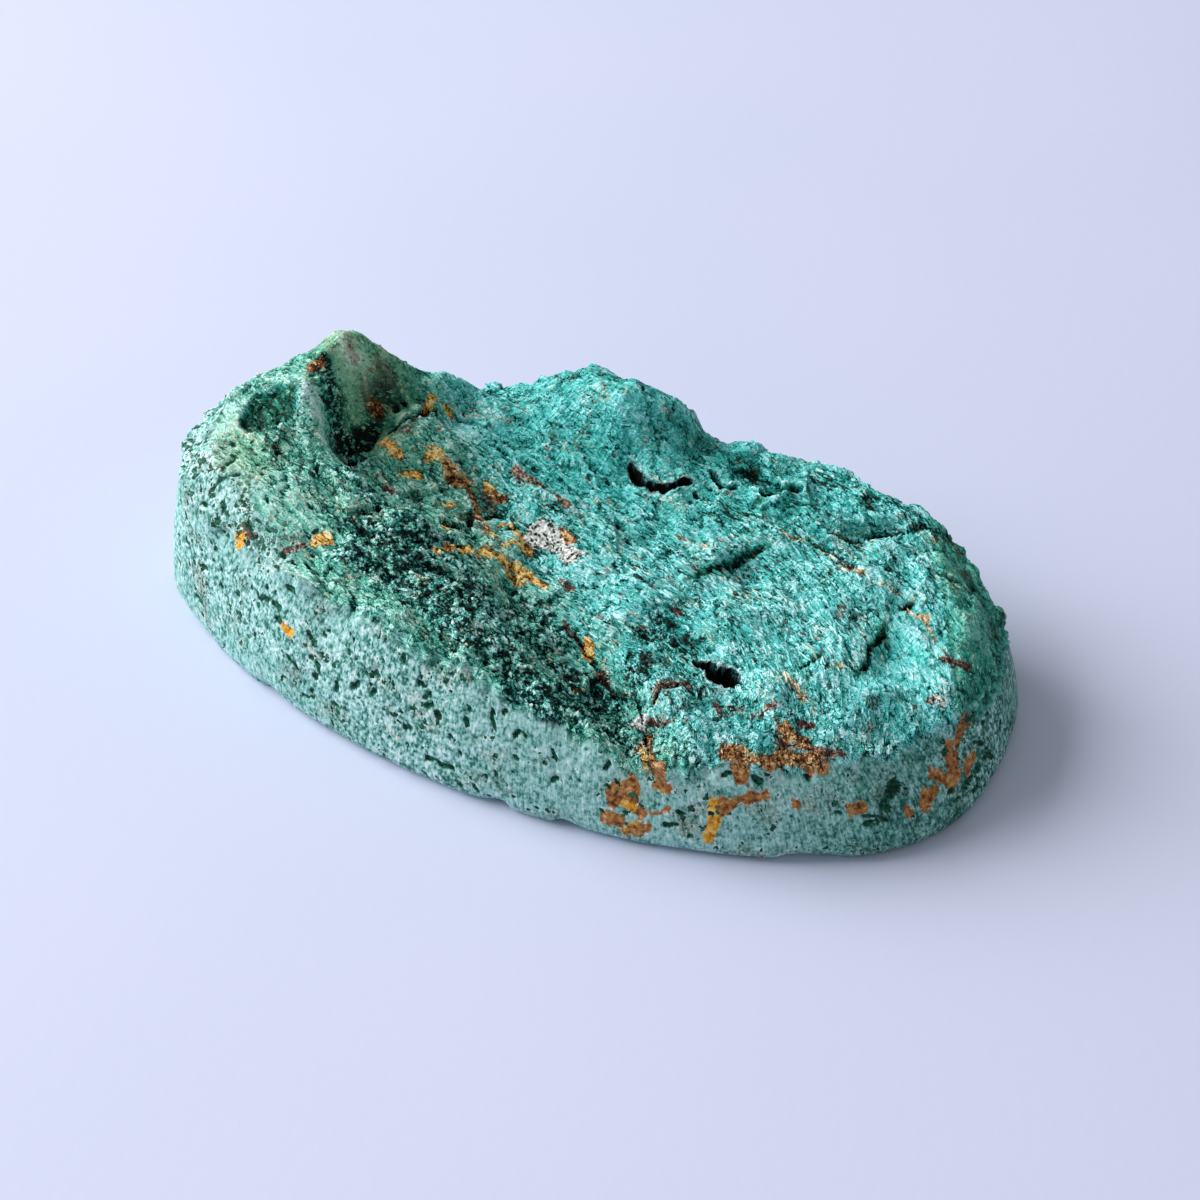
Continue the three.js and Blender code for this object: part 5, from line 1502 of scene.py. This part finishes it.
# %% [markdown]
# ### The two finishes
# Broken ore catches the light on thousands of tiny faces, the ground side hardly any. More grains
# could be modelled; below about a fifth of a millimetre a bump under the same patterns does it, for
# the bump leans each grain and plate a little its own way. The grains share one finish, a little
# paler than the stone's, and its dark band doesn't blacken them.

# %% Finishes of the stone and the grains
def stone_colour(tree):
    colour, own = ore_colour(tree, 0.1, 0.5, -0.5)
    return mixed(tree, stored(tree, "ground"), colour, side_colour(tree, own))


def stone_height(tree):
    """Bump: grains and plates on the broken ore, scratches and tiny pits on the ground side."""
    grain = cells(tree, sized(tree, 0.2, 0.13, 0.14, FOLIATION)).outputs["Distance"]
    rough = calc(tree, "MULTIPLY_ADD", grain, -0.3, 0.8)
    for along, across, warp, amount in ((1.4, 0.85, 1.6, 0.8), (0.62, 0.42, 1.3, 0.7)):
        plate, tilt, _, _ = broken_plates(tree, along, across, warp)
        rough = added(tree, rough, calc(tree, "ADD", plate, tilt), amount)
    ground = calc(tree, "MULTIPLY", scratches(tree, 6.0, 0.9), 0.5)
    ground = added(tree, ground, tiny_pits(tree)[0], -0.7)
    heights = {0: stored(tree, "ground"), 2: rough, 3: ground}
    return node(tree, "Mix", heights, data_type="FLOAT").outputs[0]


def stone_roughness(tree):
    sparkle = cloud(tree, sized(tree, 0.2, 0.2, 0.2), 1.0)
    return calc(tree, "MULTIPLY_ADD", sparkle, 0.5, 0.35)


def crumb_colour(tree):
    return ore_colour(tree, 0.12, 0.54, 0.02)[0]


def crumb_height(tree):
    return cloud(tree, sized(tree, 0.1, 0.08, 0.08), 2.0)


stone_finish, shader = new_finish(
    "ore_broken_and_ground", stone_colour, stone_roughness, stone_height, relief=0.00005)
shader.inputs["Specular IOR Level"].default_value = 0.2
crumb_finish, shader = new_finish(
    "ore_crumbs", crumb_colour, stone_roughness, crumb_height, relief=0.00003)
shader.inputs["Specular IOR Level"].default_value = 0.22
stone.data.materials.append(stone_finish)
for piece in (flakes, slivers, crumbs):
    piece.data.materials.append(crumb_finish)
print("nodes in the stone's finish:", len(stone_finish.node_tree.nodes))

# %% [markdown]
# ## Floor, light and camera
# The stone lies on a plain pale floor under one large soft light from the left and slightly behind,
# with a dim pale surround that fills the shadows. The camera looks down over the front, from a
# little to the right.

# %% Floor
floor_mesh = bpy.data.meshes.new("floor")
reach = 3  # metres from the stone to each edge, so far that no edge is seen
corners = [(-reach, -reach, 0), (reach, -reach, 0), (reach, reach, 0), (-reach, reach, 0)]
floor_mesh.from_pydata(corners, [], [(0, 1, 2, 3)])
floor = bpy.data.objects.new("floor", floor_mesh)
bpy.context.scene.collection.objects.link(floor)


def floor_colour(tree):
    return ramp(tree, cloud(tree, sized(tree, 60, 60, 60), 2.0), [(0.3, "#d2d9f2"), (0.7, "#d6dcf4")])


def floor_roughness(tree):
    return calc(tree, "MULTIPLY_ADD", cloud(tree, sized(tree, 30, 30, 30)), 0.1, 0.6)


def floor_height(tree):
    return cloud(tree, sized(tree, 1, 1, 1))


floor_finish, _ = new_finish("pale_floor", floor_colour, floor_roughness, floor_height, relief=0.00001)
floor_mesh.materials.append(floor_finish)
print("floor, metres across:", 2 * reach)

# %% Light
def soft_light(name, from_place, size, watts):
    """A square area light that faces the stone."""
    light = bpy.data.lights.new(name, "AREA")
    light.size, light.energy = size, watts
    lamp = bpy.data.objects.new(name, light)
    lamp.location = from_place
    lamp.rotation_euler = (-Vector(from_place)).to_track_quat("-Z", "Y").to_euler()
    bpy.context.scene.collection.objects.link(lamp)
    return lamp


window = soft_light("window", (-0.58, -0.05, 0.38), size=0.55, watts=7.2)
world = bpy.data.worlds.new("pale_surround")
world.use_nodes = True
world.node_tree.nodes["Background"].inputs["Color"].default_value = (0.96, 0.98, 1.0, 1)
world.node_tree.nodes["Background"].inputs["Strength"].default_value = 0.33
bpy.context.scene.world = world
bpy.context.scene.view_settings.view_transform = "Standard"
print("window light, metres from the stone:", round(window.location.length, 2))

# %% Camera
camera_data = bpy.data.cameras.new("camera")
camera_data.lens = 77.97
camera_data.sensor_width = 36
camera_data.clip_start = 0.01  # metres, because the stone is small and the camera near
camera = bpy.data.objects.new("camera", camera_data)
# It stands 24 degrees round to the right and 42 up, 178 mm from the place that it looks at.
azimuth, elevation, distance = np.radians(24), np.radians(42), 0.178
target = Vector((0.0008, 0.0017, 0.004))
level = np.cos(elevation)
back = Vector((np.sin(azimuth) * level, -np.cos(azimuth) * level, np.sin(elevation)))
camera.location = target + distance * back
camera.rotation_euler = back.to_track_quat("Z", "Y").to_euler()
bpy.context.scene.collection.objects.link(camera)
bpy.context.scene.camera = camera
print("camera at, mm:", [round(1000 * c, 1) for c in camera.location])

# %% [markdown]
# ## Hand the pieces to the frame
# Each piece rides on the part's one body, and the fine stone stands in for the plain one. The sizes
# of both are printed where the skin is joined.

# %% Ride, replace and finish
for piece in (stone, flakes, slivers, crumbs):
    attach(piece, "root")
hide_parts("stone")
